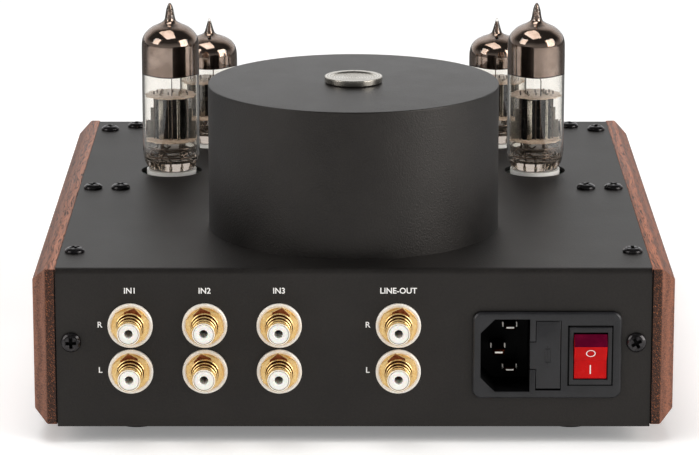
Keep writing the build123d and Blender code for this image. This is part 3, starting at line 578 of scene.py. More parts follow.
# A foot's radius, and its outline from the middle of its hollow to its top.
FOOT_RADIUS = 8.5
FOOT_PROFILE = ((0.0, 2.2), (3.0, 2.2), (3.2, 0.6), (4.2, 0.0), (FOOT_RADIUS - 1.2, 0.0),
                (FOOT_RADIUS, 6.0), (0.0, 6.0))


def pan_head(mesh, radius, place, facets=40):
    """A pan-head screw with a cross recess sunk in its crown."""
    height, arm, half = radius * 0.5, radius * 0.54, radius * 0.17
    crown = eased([(0, height), (radius * 0.72, height * 0.92), (radius, height * 0.45), (radius, 0)],
                  radius * 0.35)
    rim = [p for p in crown if p.x > radius * 0.62]
    lathe(mesh, rim, place, facets)
    top = rim[0]
    cross = []
    for k in range(4):
        turn = Matrix.Rotation(pi / 2 * k, 2)
        cross += [turn @ Vector(p) for p in ((half, -half), (arm, -half), (arm, half))]
    outer = [mesh.verts.new(place @ Vector((*p, top.y))) for p in circle(top.x, facets)]
    edge = [mesh.verts.new(place @ Vector((*p, height))) for p in cross]
    floor = [mesh.verts.new(place @ Vector((*(p * 0.9), height * 0.1))) for p in cross]
    bmesh.ops.triangle_fill(
        mesh, use_beauty=True, use_dissolve=False,
        edges=[mesh.edges.new((ring[i], ring[(i + 1) % len(ring)]))
               for ring in (outer, edge) for i in range(len(ring))])
    sunk = [mesh.faces.new(floor)]
    for i in range(len(cross)):
        j = (i + 1) % len(cross)
        sunk.append(mesh.faces.new((edge[i], edge[j], floor[j], floor[i])))
    # The recess's walls and floor are painted near black as painted shade.
    for face in sunk:
        face.material_index = 1


class AMPLIFIER_OT_case(bpy.types.Operator):
    """Screws that hold the folded case together, and its feet"""

    bl_idname = "amplifier.case"
    bl_label = "Case screws and feet"

    def execute(self, context):
        radius = context.scene.amplifier.screw_radius / MM
        steels = ("black_steel", "punched_recess_shade")
        spots = [(x, row) for x in (-SIDE_X, SIDE_X) for row in SIDE_ROWS]
        spots += [(x, row) for x in (-BOARD_X, BOARD_X) for row in BOARD_ROWS]
        top = bmesh.new()
        for k, (x, row) in enumerate(spots):
            place = spot((x * MM, rear_y - row * MM, top_z))
            pan_head(top, radius, place @ Matrix.Rotation(0.7 * k, 4, "Z"))
        piece("top_screws", top, steels, "chassis")
        ends = bmesh.new()
        walls = ((rear_y, BACK), (front_y, FRONT))
        for k, (x, y, out) in enumerate([(x, y, out) for y, out in walls for x in (-SIDE_X, SIDE_X)]):
            place = spot((x * MM, y, top_z - END_DROP * MM), out)
            pan_head(ends, radius, place @ Matrix.Rotation(0.5 + 1.1 * k, 4, "Z"))
        piece("end_screws", ends, steels, "chassis")
        low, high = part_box("feet")
        reach = FOOT_RADIUS * MM
        feet = bmesh.new()
        for x in (low.x + reach, high.x - reach):
            for y in (low.y + reach, high.y - reach):
                lathe(feet, eased(FOOT_PROFILE, 0.7), spot((x, y, 0.0)))
        piece("rubber_feet", feet, ("foot_rubber",), "chassis", ("feet",))
        return {"FINISHED"}


class AMPLIFIER_OT_cheeks(bpy.types.Operator):
    """Bevelled hardwood cheeks with worn edges, and a painted shade line where they meet the case"""

    bl_idname = "amplifier.cheeks"
    bl_label = "Wooden cheeks"

    def execute(self, context):
        for side, inward, board in (("left", 1, "oiled_wood_left"), ("right", -1, "oiled_wood")):
            cheek = softened(f"cheek_{side}", f"oak_cheek_{side}", (board, "cheek_gap_shade"), "chassis",
                             ease=0.45, steps=3)
            # The bevels that face the case are painted black: painted shade of the gap.
            for face in cheek.data.polygons:
                if face.normal.x * inward > 0.25 and abs(face.normal.y) > 0.25:
                    face.material_index = 1
        return {"FINISHED"}


COVER_WALL = 1.5


class AMPLIFIER_OT_cover(bpy.types.Operator):
    """Drum cover over the transformer, and its turned cap screw"""

    bl_idname = "amplifier.cover"
    bl_label = "Transformer cover"

    def execute(self, context):
        low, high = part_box("transformer_cover")
        centre = Vector((*middle("transformer_cover").xy, low.z))
        radius, height = (high.x - low.x) / 2 / MM, (high.z - low.z) / MM
        bore, ceiling = radius - COVER_WALL, height - COVER_WALL
        drum = bmesh.new()
        outside = eased([(0.0, height), (radius, height), (radius, 0)], 0.5, 6)
        inside = eased([(bore, 0), (bore, ceiling), (0.0, ceiling)], 1.0)
        lathe(drum, outside + inside, spot(centre), 192)
        piece("drum_cover", drum, ("cover_paint",), "chassis", ("transformer_cover",))
        low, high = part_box("cap_screw")
        seat = centre + height * MM * UP
        radius, rise, tip = (high.x - low.x) / 2 / MM, (high.z - seat.z) / MM, (low.z - seat.z) / MM
        cap = bmesh.new()
        profile = [(0.0, rise - 0.7), (radius - 2.6, rise - 0.5), (radius - 2.1, rise), (radius, rise),
                   (radius, 0.35), (radius - 0.5, 0.0), (3.0, 0.0), (3.0, tip), (0.0, tip)]
        lathe(cap, eased(profile, 0.35, 5), spot(seat), 128)
        piece("cover_cap", cap, ("turned_nickel",), "chassis", ("cap_screw",))
        return {"FINISHED"}


# The valves. The outline of the bulb is radius and height above the foot, from the foot to the
# tip; the flash ends, and the two spacers lie, at those heights.
TALL = {
    "outline": ((10.6, 6.0), (10.6, 20.0), (10.6, 34.0), (10.6, 44.0), (10.45, 48.0), (9.5, 50.6),
                (7.1, 53.0), (4.1, 54.5), (2.3, 55.7), (1.7, 57.6), (1.45, 59.3), (0.9, 61.2),
                (0.3, 62.2)),
    "flash": 35.6, "spacers": (10.9, 27.7),
}
SHORT = {
    "outline": ((10.5, 6.0), (10.5, 16.0), (10.5, 26.0), (10.5, 32.0), (10.35, 34.6), (9.7, 36.9),
                (8.2, 38.8), (6.0, 40.1), (3.6, 41.0), (2.2, 41.8), (1.6, 43.0), (0.9, 45.4),
                (0.3, 47.5)),
    "flash": 29.2, "spacers": (9.4, 23.4),
}
GLASS_FOOT = ((0.0, 0.0), (7.6, 0.0), (8.5, 0.5), (9.3, 1.6), (10.1, 3.2))
GLASS_FLOOR = ((0.0, 3.2), (6.5, 3.2), (8.4, 3.7), (9.5, 4.9))
GLASS_WALL, PRESSED_TOP, FLASH_EDGE = 0.8, 5.2, 0.4
PIN_CIRCLE, PIN_STATIONS, PINS = 5.95, 10, 9
# Leads that stand up through the upper spacer.
LEADS = ((-6.3, 1.2), (-5.6, -1.6), (6.1, 1.4), (5.4, -2.0), (0.6, 2.6), (-0.4, -2.4))
# Half span of each step of a cooling fin, and the share of the anode's height that it has.
FIN_STEPS = ((6.4, 1.0), (7.7, 0.72), (9.0, 0.42))
# How far each valve's works are turned in its glass, in degrees.
VALVES = {"tall_left": 12.0, "tall_right": -5.0, "short_left": -20.0, "short_right": 8.0}


def valve_glass(name, kind, place):
    """The glass of a valve. Its flash is the inner skin of the dome, as it lies on the glass."""
    bulb = flowing(kind["outline"])
    inner = []
    for before, p, after in zip(bulb, bulb[1:], bulb[2:]):
        along = (after - before).normalized()
        inward = p + Vector((-along.y, along.x)) * min(GLASS_WALL, 0.35 * p.x + 0.1)
        if inward.x > 0.3 and (not inner or inward.y > inner[-1].y):
            inner.append(inward)
    rim, bore = kind["flash"], inner[0].x
    inner = ([p for p in inner if p.y < rim - 0.2]
             + [Vector((bore, rim)), Vector((bore, rim + FLASH_EDGE))]
             + [p for p in inner if p.y > rim + 1.0])
    glass = bmesh.new()
    lathe(glass, flowing(GLASS_FOOT)[:-1] + bulb + [Vector((0.0, bulb[-1].y + 0.05))], place, 72)
    outer = len(glass.faces)
    hollow = [Vector(p) for p in GLASS_FLOOR] + inner + [Vector((0.0, inner[-1].y + 0.3))]
    lathe(glass, hollow[::-1], place, 72)
    lift = place.inverted()
    for k, face in enumerate(glass.faces):
        height = (lift @ face.calc_center_median()).z
        face.material_index = int(height < PRESSED_TOP)
        if k >= outer and height > rim:
            face.material_index = 3 if height < rim + FLASH_EDGE else 2
    # The edge of the flash wavers round the glass.
    for v in glass.verts:
        local = lift @ v.co
        if abs(Vector(local.xy).length - bore) < 0.01 and rim - 0.1 < local.z < rim + 0.5:
            around = Vector(local.xy).angle_signed(Vector((1, 0)), 0.0)
            v.co = place @ (local + (0.35 * sin(around) + 0.2 * sin(3 * around)) * UP)
    piece(f"{name}_envelope", glass, ("valve_glass", "foot_glass", "barium_flash", "flash_edge"),
          f"{name}_valve", (f"{name}_glass",), hollow=True)


def valve_pins(cage, lower, place):
    """Nine pins on ten stations. Inside the glass each goes on as a bent lead to the works,
    and a stray loop of wire stands beside it."""
    for k in range(PINS):
        angle = 2 * pi * (k + 1) / PIN_STATIONS - pi / 2
        reach = Vector((cos(angle), sin(angle)))
        pin = PIN_CIRCLE * reach
        wire(cage, [(*pin, -7.0), (*pin, -6.6), (*pin, 2.4)], 0.5, place, 12)
        post = Vector((3.5 if pin.x > 0 else -3.5, 3.3 * (1 if pin.y > 0 else -1)))
        lead = [(*pin, 2.3), (*(pin * 0.98), 4.0), (*(pin * 0.6 + post * 0.4), 5.6),
                (*post, 7.2 + 0.35 * k), (*post, lower - 0.2)]
        wire(cage, lead, 0.32, place, 6, paint=1)
        aside = Vector((-reach.y, reach.x)) * (2.2 if k % 2 else -1.8)
        loop = [(*(pin * 1.25), 5.0 + 0.3 * (k % 3)), (*(pin * 1.2 + aside), 6.4),
                (*(pin * 0.8 + aside), 7.9), (*(pin * 0.9), 9.3)]
        wire(cage, loop, 0.3, place, 6, paint=1)


def valve_cage(name, kind, place, works):
    """Pins, leads, rods and straps: bright above the lower spacer, dull below it."""
    lower, upper = kind["spacers"]
    cage = bmesh.new()
    for x in (-3.5, 3.5):
        for y in (-3.3, 3.3):
            wire(cage, [(x, y, lower - 2.0), (x, y, lower), (x, y, upper + 1.2)], 0.4, works)
        wire(cage, [(x, 0, 4.2), (x, 0, upper + 0.9)], 0.75, works, 12)
        for y in (-1.5, 1.5):
            wire(cage, [(x, y, lower - 1.4), (x, y, upper + 1.9)], 0.28, works, 6, paint=1)
    for x, y in LEADS:
        wire(cage, [(x, y, lower - 0.8), (x, y, upper + 1.5)], 0.25, works, 6, paint=1)
    valve_pins(cage, lower, place)
    # A shield disc and three rings of getter and lead wire under the works.
    prism(cage, circle(7.4, 40), lower - 3.9, lower - 3.6, works, 0.08, paint=1)
    for radius, height in ((8.3, lower - 5.6), (6.9, lower - 5.0), (8.8, lower - 2.3)):
        ring = [(radius + x, height + y) for x, y in circle(0.3, 6)]
        lathe(cage, ring, works, 40, closed=True, paint=1)
    # A strap up the face of the anodes with an eyelet on its top, and two wires beside it.
    strap = eased(rectangle(1.8, 0.5, 3.2, 3.6), 0.2, 2, closed=True)
    prism(cage, strap, lower + 0.6, upper - 0.2, works, 0.06)
    lathe(cage, flowing([(0.0, -1.3), (0.9, -1.0), (1.25, 0.0), (1.0, 0.25), (0.0, 0.3)]),
          works @ Matrix.Translation((3.2, 3.7, upper - 0.2)), 20)
    wire(cage, [(-2.9, 3.7, lower + 0.4), (-2.9, 3.7, upper - 0.1)], 0.28, works, 8)
    mast = [(-0.9, 3.9, lower + 0.5), (-0.9, 3.9, upper + 6.0), (-0.6, 2.0, upper + 8.0)]
    wire(cage, mast, 0.2, works, 6, paint=1)
    piece(f"{name}_cage", cage, ("nickel_wire", "dull_wire"), f"{name}_valve",
          (f"{name}_wires",))


def valve_anodes(name, kind, works):
    """Two folded anode boxes side by side, with ribs across and stepped cooling fins."""
    lower, upper = kind["spacers"]
    base, rise = lower + 0.5, upper - lower - 1.0
    plates = bmesh.new()
    for side in (-1, 1):
        x = 2.75 * side
        tube = eased(rectangle(5.1, 4.9, x), 1.0, 3, closed=True)
        hole = eased(rectangle(4.3, 4.1, x), 0.8, 3, closed=True)
        shell = [[plates.verts.new(works @ Vector((*p, z))) for p in ring]
                 for ring, z in ((tube, base), (tube, base + rise), (hole, base + rise), (hole, base))]
        for a, b in zip(shell, shell[1:] + shell[:1]):
            for i in range(len(a)):
                j = (i + 1) % len(a)
                plates.faces.new((a[i], a[j], b[j], b[i]))
        for share in (0.25, 0.5, 0.75):
            rib = base + rise * share
            prism(plates, rectangle(5.2, 5.1, x), rib - 0.35, rib + 0.35, works, 0.2)
        # The fins take the lighter grey: a painted reflection.
        for half, share in FIN_STEPS:
            fin = rectangle(half - 5.4, 0.4, side * (half + 5.4) / 2)
            prism(plates, fin, base, base + rise * share, works, 0.08, paint=1)
    piece(f"{name}_anodes", plates, ("anode_nickel", "fin_nickel_reflection"), f"{name}_valve",
          (f"{name}_plates",))


def valve_micas(name, kind, works):
    """Toothed mica sheets that hold the works upright in the glass."""
    sheets = bmesh.new()
    tips, roots = circle(9.6, 48), circle(9.0, 48)
    teeth = [tip if i % 4 < 2 else root for i, (tip, root) in enumerate(zip(tips, roots))]
    for height in kind["spacers"]:
        prism(sheets, teeth, height, height + 0.4, works, 0.06)
    piece(f"{name}_micas", sheets, ("mica",), f"{name}_valve", (f"{name}_spacers",))


class AMPLIFIER_OT_valves(bpy.types.Operator):
    """Four plug-in valves"""

    bl_idname = "amplifier.valves"
    bl_label = "Valves"

    def execute(self, context):
        for name, turn in VALVES.items():
            kind = TALL if name.startswith("tall") else SHORT
            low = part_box(f"{name}_glass")[0].z
            place = spot(Vector((*middle(f"{name}_glass").xy, low)))
            works = place @ Matrix.Rotation(radians(turn), 4, "Z")
            valve_glass(name, kind, place)
            valve_cage(name, kind, place, works)
            valve_anodes(name, kind, works)
            valve_micas(name, kind, works)
        return {"FINISHED"}


# The phono sockets. Each lip of the barrel stands out at a radius and a height above the
# panel, with a groove of the core's radius over it.
BARREL_CORE = 3.4
BARREL_LIPS = ((4.05, 7.9), (4.4, 5.5), (4.9, 3.2))
# The dished flange round the nut, the nut's corner radius, and how far each nut is turned.
DISH = ((4.6, 0.0), (7.3, 0.0), (7.6, 0.25), (7.6, 1.35), (7.3, 1.7), (6.7, 1.6), (6.3, 1.35), (4.6, 1.3))
# Beyond this radius the flange is painted pale: a painted highlight.
DISH_HIGHLIGHT_RIM = 6.35
NUT_CORNER, NUT_LOW, NUT_HIGH = 6.7, 0.5, 1.65
NUT_TURNS = (-13, 7, 12, 12, -9, 4, -12, 9)
# The nut's upper corner, painted dark as a painted reflection, as radius and angle from its point.
NUT_PEAK = ((5.3, 0.6), (4.2, 0.75), (4.2, 0.3), (4.2, 0.0), (4.2, -0.3), (4.2, -0.75), (5.3, -0.6),
            (6.45, 0.0))


class AMPLIFIER_OT_phonos(bpy.types.Operator):
    """Gold-plated phono sockets with dished flanges"""

    bl_idname = "amplifier.phonos"
    bl_label = "Phono sockets"

    def execute(self, context):
        shells, nuts, inserts = bmesh.new(), bmesh.new(), bmesh.new()
        low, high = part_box("phono_shells")
        reach, tail = (high.y - rear_y) / MM, (rear_y - low.y) / MM
        for at, turn in zip(pin_mounts, NUT_TURNS):
            place = spot((at.x, rear_y, at.z), BACK)
            self.barrel(shells, place, reach, tail)
            self.flange(nuts, place, radians(turn))
            mouth = [(1.45, reach - 9.5), (BARREL_CORE, reach - 9.5), (BARREL_CORE, reach - 0.3),
                     (3.2, reach - 0.08), (1.62, reach - 0.08), (1.45, reach - 0.35)]
            lathe(inserts, eased(mouth, 0.08, 2, closed=True), place, 64, closed=True)
        golds = ("gold_plate", "gold_rim_highlight", "gold_groove_shade", "gold_shade")
        piece("phono_barrels", shells, golds, "chassis", ("phono_shells",))
        piece("phono_flanges", nuts, golds, "chassis", ("phono_nuts",))
        piece("phono_faces", inserts, ("white_ptfe",), "chassis", ("phono_inserts",))
        return {"FINISHED"}

    def barrel(self, mesh, place, reach, tail):
        """A hollow sleeve with three lips; its grooves are painted dark as painted shade, and its end is painted
        pale as a painted highlight.
        """
        profile = [(0.0, reach - 10), (BARREL_CORE, reach - 10), (BARREL_CORE, reach), (3.75, reach),
                   (4.0, reach - 0.3), (4.0, reach - 1.9)]
        for radius, height in BARREL_LIPS:
            profile += [(BARREL_CORE, height + 1.6), (BARREL_CORE, height + 0.5),
                        (radius - 0.26, height + 0.5), (radius, height + 0.3), (radius, height)]
        profile += [(4.4, 0.6), (4.4, -tail), (0.0, -tail)]
        first = len(mesh.faces)
        lathe(mesh, eased(profile, 0.06, 2), place, 64)
        mesh.faces.ensure_lookup_table()
        for face in mesh.faces[first:]:
            away = (face.calc_center_median() - place.translation) / MM
            radius = Vector((away.x, away.z)).length
            lip = next((r for r, height in BARREL_LIPS if height <= away.y < height + 1.7), 3.6)
            # The grooves are painted near black as painted shade.
            if radius < lip - 0.28 and 1.0 < away.y < reach - 1.95:
                face.material_index = 2
            # The barrel's end is painted pale: a painted highlight.
            elif away.y > reach - 0.02 and radius > 3.45:
                face.material_index = 1

    def flange(self, mesh, place, turn):
        """A dished ring whose rim is painted pale as a painted highlight, round a hexagon nut turned by that
        angle.
        """
        first = len(mesh.faces)
        lathe(mesh, eased(DISH, 0.25, 3, closed=True), place, 72, closed=True)
        mesh.faces.ensure_lookup_table()
        for face in mesh.faces[first:]:
            away = (face.calc_center_median() - place.translation) / MM
            face.material_index = int(Vector((away.x, away.z)).length > DISH_HIGHLIGHT_RIM)
        nut = eased(circle(NUT_CORNER, 6, pi / 6 + turn), 0.15, 2, closed=True)
        prism(mesh, nut, NUT_LOW, NUT_HIGH, place, 0.15)
        # A thin dark plate on the nut's upper corner: a painted reflection of the barrel.
        up = pi / 2 + turn
        peak = [(r * cos(up + a), r * sin(up + a)) for r, a in NUT_PEAK]
        prism(mesh, peak, NUT_HIGH - 0.05, NUT_HIGH + 0.03, place, paint=3)


# The mains module. Bars of the painted black shadow line round the switch frame: place, width and height.
BAY_SHADOW_BARS = ((7.35, 0, 0.6, 21.0), (-7.35, 0, 0.6, 21.0), (0, 10.2, 15.3, 0.6), (0, -10.2, 15.3, 0.6))
# Half the width and height of an inlet blade's box, and where its root's uprights stand.
BLADE_HALF = Vector((3.15, 0.0, 1.0)) * MM
ROOT_ASIDE, ROOT_REACH = 2.3, (-18.0, -13.0)
# The rocker's cap is turned about its pivot at this radius; short of the brow it is painted in shade.
ROCKER_RADIUS, ROCKER_BROW = 9.84, 9.2
RING_MARK = ((1.3, 0.0), (1.6, 0.0), (1.6, 0.04), (1.3, 0.04))


class AMPLIFIER_OT_mains(bpy.types.Operator):
    """Mains module: inlet, fuse drawer, rocker switch"""

    bl_idname = "amplifier.mains"
    bl_label = "Mains module"

    def execute(self, context):
        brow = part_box("mains_module")[1].y
        moulding = softened("mains_module", "module_moulding", ("black_nylon", "nylon_recess_shade"),
                            "chassis", ease=0.25)
        # Faces more than a millimetre behind the module's face are painted near black as painted shade.
        for face in moulding.data.polygons:
            face.material_index = int(face.center.y < brow - 1.0 * MM)
        # The switch frame is drawn in from its bay, and thin black bars laid on the module's face round it are a
        # painted shadow of the gap.
        seat = middle("switch_frame")
        bezel = softened("switch_frame", "switch_bezel", ("black_nylon",), "chassis",
                         ease=0.2)
        slimmed(bezel, seat, 6.2, 10.0, 0.5)
        gap = bmesh.new()
        for x, z, wide, high in BAY_SHADOW_BARS:
            prism(gap, rectangle(wide, high, x, z), -0.2, 0.03, spot((seat.x, brow, seat.z), BACK))
        piece("bay_gap_shadow", gap, ("nylon_recess_shade",), "chassis")
        # The fuse drawer is lifted clear of the module below it.
        drawer = softened("fuse_drawer", "drawer_moulding", ("black_nylon",), "fuse_drawer",
                          ease=0.2)
        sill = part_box("fuse_drawer")[0].z + 0.3 * MM
        for v in drawer.data.vertices:
            if v.co.z < sill:
                v.co.z += 0.4 * MM
        self.blades(brow)
        self.rocker()
        self.fuse_sign()
        return {"FINISHED"}

    def fuse_sign(self):
        """The fuse sign raised on the drawer: a slim box with a line through it."""
        low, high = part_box("fuse_drawer")
        centre = Vector(((low.x + high.x) / 2 - 0.9 * MM, high.y, (low.z + high.z) / 2))
        place = spot(centre, BACK, (-1, 0, 0))
        box = rectangle(1.9, 4.6)
        sign = bmesh.new()
        for a, b in zip(box + [(0, -3.6)], box[1:] + box[:1] + [(0, 3.6)]):
            wire(sign, [(*a, 0.0), (*b, 0.0)], 0.14, place, 6)
        piece("drawer_sign", sign, ("black_nylon",), "fuse_drawer")

    def blades(self, brow):
        """The inlet's blades, each with its root between two uprights, their flanks painted dark as a painted
        reflection.
        """
        low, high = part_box("inlet_blades")
        blades = softened("inlet_blades", "blades", ("nickel_blade", "gold_groove_shade"), "chassis",
                          ease=0.15)
        roots = bmesh.new()
        for x, z in ((high.x - BLADE_HALF.x, (low.z + high.z) / 2),
                     (low.x + BLADE_HALF.x, low.z + BLADE_HALF.z),
                     (low.x + BLADE_HALF.x, high.z - BLADE_HALF.z)):
            for side in (-ROOT_ASIDE, ROOT_ASIDE):
                upright = eased(rectangle(0.6, 1.8, side), 0.15, 2, closed=True)
                prism(roots, upright, *ROOT_REACH, spot((x, brow, z), BACK), 0.1)
        uprights = piece("blade_roots", roots, ("nickel_blade", "gold_groove_shade"), "chassis")
        # The flanks of blades and uprights are painted dark: a painted reflection.
        for made in (blades, uprights):
            for face in made.data.polygons:
                face.material_index = int(face.normal.y < 0.9)

    def rocker(self):
        """The rocker's cap, with a ring on its raised face and a bar on the pressed one."""
        axis = Vector(next(j for j in frame["joints"] if j["name"] == "power")["pos_m"])
        cap = softened("rocker", "rocker_cap", ("red_rocker", "red_skirt_shade"), "power_rocker",
                       ease=0.3, steps=3)
        slimmed(cap, middle("rocker"), 5.8, 99.0, 0.8)
        # Faces on the cap's arc short of the brow are painted in the rocker's shade.
        for face in cap.data.polygons:
            out = (face.center - axis) / MM
            if abs(Vector(out.yz).length - ROCKER_RADIUS) < 0.25 and out.y < ROCKER_BROW:
                face.material_index = 1
        marks = bmesh.new()
        right = (-1, 0, 0)
        tilted = (0, cos(radians(30)), -sin(radians(30)))
        lathe(marks, RING_MARK, spot(axis + Vector((0, 7.4, 1.3)) * MM, tilted, right), 48, closed=True)
        prism(marks, eased(rectangle(0.36, 3.1), 0.12, 2, closed=True), 0.0, 0.04,
              spot(axis + Vector((0, 5.8, -4.75)) * MM, BACK, right))
        piece("rocker_marks", marks, ("screen_ink",), "power_rocker")


# The bushes on the front panel, as closed rings of radius and height.
JACK_BUSH = ((3.3, -2.0), (3.3, 0.3), (3.7, 0.8), (4.6, 0.8), (5.0, 0.4), (5.0, -0.2))
LAMP_BUSH = ((2.55, -1.0), (2.55, 0.7), (2.9, 1.1), (3.6, 0.9), (3.9, 0.4), (3.9, -0.2))


class AMPLIFIER_OT_controls(bpy.types.Operator):
    """Front knobs, headphone socket and pilot lamp"""

    bl_idname = "amplifier.controls"
    bl_label = "Front controls"

    def execute(self, context):
        self.knob("volume_knob", "volume_turned", "volume_knob")
        self.knob("selector_knob", "selector_turned", "source_selector")
        softened("headphone_jack", "jack_moulding", ("black_nylon",), "chassis")
        bush = bmesh.new()
        jack, lamp = middle("headphone_jack"), middle("pilot_lamp")
        jack.y, lamp.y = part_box("headphone_jack")[0].y, front_y
        for centre, ring in ((jack, JACK_BUSH), (lamp, LAMP_BUSH)):
            lathe(bush, eased(ring, 0.25, 3, closed=True), spot(centre, FRONT), 64, closed=True)
        piece("front_bushes", bush, ("nickel_blade",), "chassis")
        return {"FINISHED"}

    def knob(self, cad_node, name, body):
        """A turned knob, hollow behind, with a black pointer let into its face."""
        low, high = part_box(cad_node)
        radius, length = (high.x - low.x) / 2 / MM, (high.y - low.y) / MM
        centre = middle(cad_node)
        place = spot((centre.x, high.y, centre.z), FRONT)
        # Turned and anodised aluminium: grey satin with fine rings.
        finishes[name] = turned(f"{name}_aluminium", colour("#a9a9ac"), colour("#c6c6c9"), 0.35, 0.34,
                                0.0015, centre, FRONT)
        profile = [(0.0, length - 4), (3.0, length - 4), (3.0, 4.0), (8.0, 4.0), (8.0, 0.0),
                   (radius - 0.6, 0.0), (radius, 0.6), (radius, length - 1.2), (radius - 1.2, length),
                   (radius * 0.5, length - 0.25), (0.0, length - 0.3)]
        knob = bmesh.new()
        lathe(knob, eased(profile, 0.5, 4), place, 128)
        piece(name, knob, (name,), body, (cad_node,))
        line = eased(rectangle(1.0, radius * 0.42, 0.0, radius * 0.68), 0.4, 3, closed=True)
        pointer = bmesh.new()
        prism(pointer, line, length - 0.4, length - 0.02, place, 0.05)
        piece(f"{name}_pointer", pointer, ("black_nylon",), body)


# The lettering: ink thickness, and in metres how far words stand over and beside the sockets.
INK = 0.01
WORD_RISE, LETTER_ASIDE = 0.0118, 0.0103
DOT_CIRCLE, NUMERAL_CIRCLE = 0.0225, 0.0145
CAPITAL_SHARE = 0.7  # a capital's share of the type's size


class AMPLIFIER_OT_lettering(bpy.types.Operator):
    """Screen-printed marks: numerals and plain words only"""

    bl_idname = "amplifier.lettering"
    bl_label = "Lettering"

    def execute(self, context):
        height = context.scene.amplifier.letter_height
        columns = sorted({round(at.x, 4) for at in pin_mounts}, reverse=True)
        rows = sorted({round(at.z, 4) for at in pin_mounts}, reverse=True)
        words = [(w, x, rows[0] + WORD_RISE) for w, x in zip(("IN1", "IN2", "IN3", "LINE-OUT"), columns)]
        for x in (columns[0], columns[-1]):
            words += [("R", x + LETTER_ASIDE, rows[0]), ("L", x + LETTER_ASIDE, rows[1] + 0.2 * MM)]
        for k, (text, x, z) in enumerate(words):
            self.printed(f"print_{k}", text, height, (x, rear_y + INK * MM, z), BACK)
        # Scales of the front knobs: a dot at each step of the volume, a numeral at each source.
        dots = bmesh.new()
        centre = middle("volume_knob")
        for k in range(11):
            turn = radians(150 - 30 * k)
            at = (centre.x - DOT_CIRCLE * sin(turn), front_y, centre.z + DOT_CIRCLE * cos(turn))
            lathe(dots, [(0.0, 0.0), (0.45, 0.0), (0.45, 0.04), (0.0, 0.05)], spot(at, FRONT), 20)
        piece("volume_scale", dots, ("screen_ink",), "chassis")
        centre = middle("selector_knob")
        for k, turn in enumerate((radians(-30), 0.0, radians(30))):
            at = (centre.x + NUMERAL_CIRCLE * sin(turn), front_y - INK * MM,
                  centre.z + NUMERAL_CIRCLE * cos(turn))
            self.printed(f"source_{k + 1}", str(k + 1), height, at, FRONT)
        return {"FINISHED"}

    def printed(self, name, text, height, at, out):
        """A word in screen ink on a panel."""
        curve = bpy.data.curves.new(name, "FONT")
        curve.body = text
        curve.size = height / CAPITAL_SHARE
        curve.align_x = "CENTER"
        curve.align_y = "CENTER"
        curve.extrude = INK * MM
        curve.offset = 0.05 * MM
        curve.resolution_u = 4
        curve.materials.append(finishes["screen_ink"])
        made = placed(name, curve)
        made.matrix_world = spot(at, out, UP.cross(out)) @ Matrix.Scale(1 / MM, 4)
        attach(made, "chassis")


# ---- Stage ------------------------------------------------------------------
PAPER_GLOW = 0.22  # what the floor adds for the eye and through glass
ROOM_LEVEL = 0.28  # the room's even light, where 1 is white


def seen_rays(tree):
    """Two shares of a ray: 1 where the eye sees it straight or through glass, and 1 where it
    came off a mirror first."""
    path = node(tree, "ShaderNodeLightPath")
    clear_way = node(tree, "ShaderNodeMath",
                     {0: path.outputs["Is Camera Ray"], 1: path.outputs["Is Transmission Ray"]},
                     operation="MAXIMUM")
    bounced = node(tree, "ShaderNodeMath", {0: path.outputs["Glossy Depth"], 1: 1.0},
                   operation="MINIMUM")
    mirror = node(tree, "ShaderNodeMath", {0: bounced, 1: path.outputs["Is Glossy Ray"]},
                  operation="MULTIPLY")
    seen = node(tree, "ShaderNodeMath", {0: clear_way, 1: mirror},
                operation="SUBTRACT", use_clamp=True)
    return seen.outputs[0], mirror.outputs[0]


def studio_paper():
    """The floor: matt white paper. The eye sees it a little brighter than it lights, and a
    mirror sees it fall off in front of the amplifier and right behind it, as in a dark room."""
    paper = skin("white_paper", colour("#f4f4f4"), colour("#fbfbfb"), 0.6, 0.7, 0.01,
                 drift=80.0, Specular_IOR_Level=0.2, Emission_Color=(1.0, 1.0, 1.0, 1.0))
    tree = paper.node_tree
    shader = next(n for n in tree.nodes if n.type == "BSDF_PRINCIPLED")
    seen, mirror = seen_rays(tree)
    glow = node(tree, "ShaderNodeMath", {0: seen, 1: PAPER_GLOW}, operation="MULTIPLY")
    tree.links.new(glow.outputs[0], shader.inputs["Emission Strength"])
    at = node(tree, "ShaderNodeSeparateXYZ", {0: node(tree, "ShaderNodeTexCoord").outputs["Object"]})
    aside = node(tree, "ShaderNodeMath", {0: at}, operation="ABSOLUTE")
    wide = node(tree, "ShaderNodeMapRange",
                {"Value": aside, "From Min": 0.08, "From Max": 0.5, "To Min": 0.8},
                interpolation_type="SMOOTHSTEP")
    behind = node(tree, "ShaderNodeMapRange",
                  {"Value": at.outputs[1], "From Min": -0.3, "From Max": -0.02, "To Min": 0.18},
                  interpolation_type="SMOOTHSTEP")
    share = node(tree, "ShaderNodeMath", {0: wide, 1: behind}, operation="MULTIPLY")
    fall = node(tree, "ShaderNodeMath", {0: 1.0, 1: share}, operation="SUBTRACT")
    mirrored = node(tree, "ShaderNodeMath", {0: fall, 1: mirror}, operation="MULTIPLY")
    plain = shader.inputs["Base Color"].links[0].from_socket
    shade = node(tree, "ShaderNodeMix", {0: mirrored, 6: plain, 7: colour("#000000")},
                 data_type="RGBA")
    tree.links.new(shade.outputs[2], shader.inputs["Base Color"])
    return paper


# Each lamp's place and aim in metres, its size, its watts and its tint.
LAMPS = {
    "softbox_left": ((2.1, 1.0, 1.3), (0, 0, 0.1), (1.3, 1.7), 20.0, "#fffcf8"),
    "softbox_right": ((-2.1, 1.0, 1.0), (0, 0, 0.1), (1.6, 1.7), 42.0, "#fffcf8"),
    "top_light": ((0.25, 0.1, 2.1), (0, 0, 0), (2.0, 1.2), 25.0, "#ffffff"),
}
FLOOR_SPAN, FLOOR_CORNER = 9000, 1500
CAMERA_ASIDE = 0.0014  # metres
CAMERA_DIP = 13.88  # degrees below level
CAMERA_LENS, CAMERA_SENSOR = 191.0, 36.0


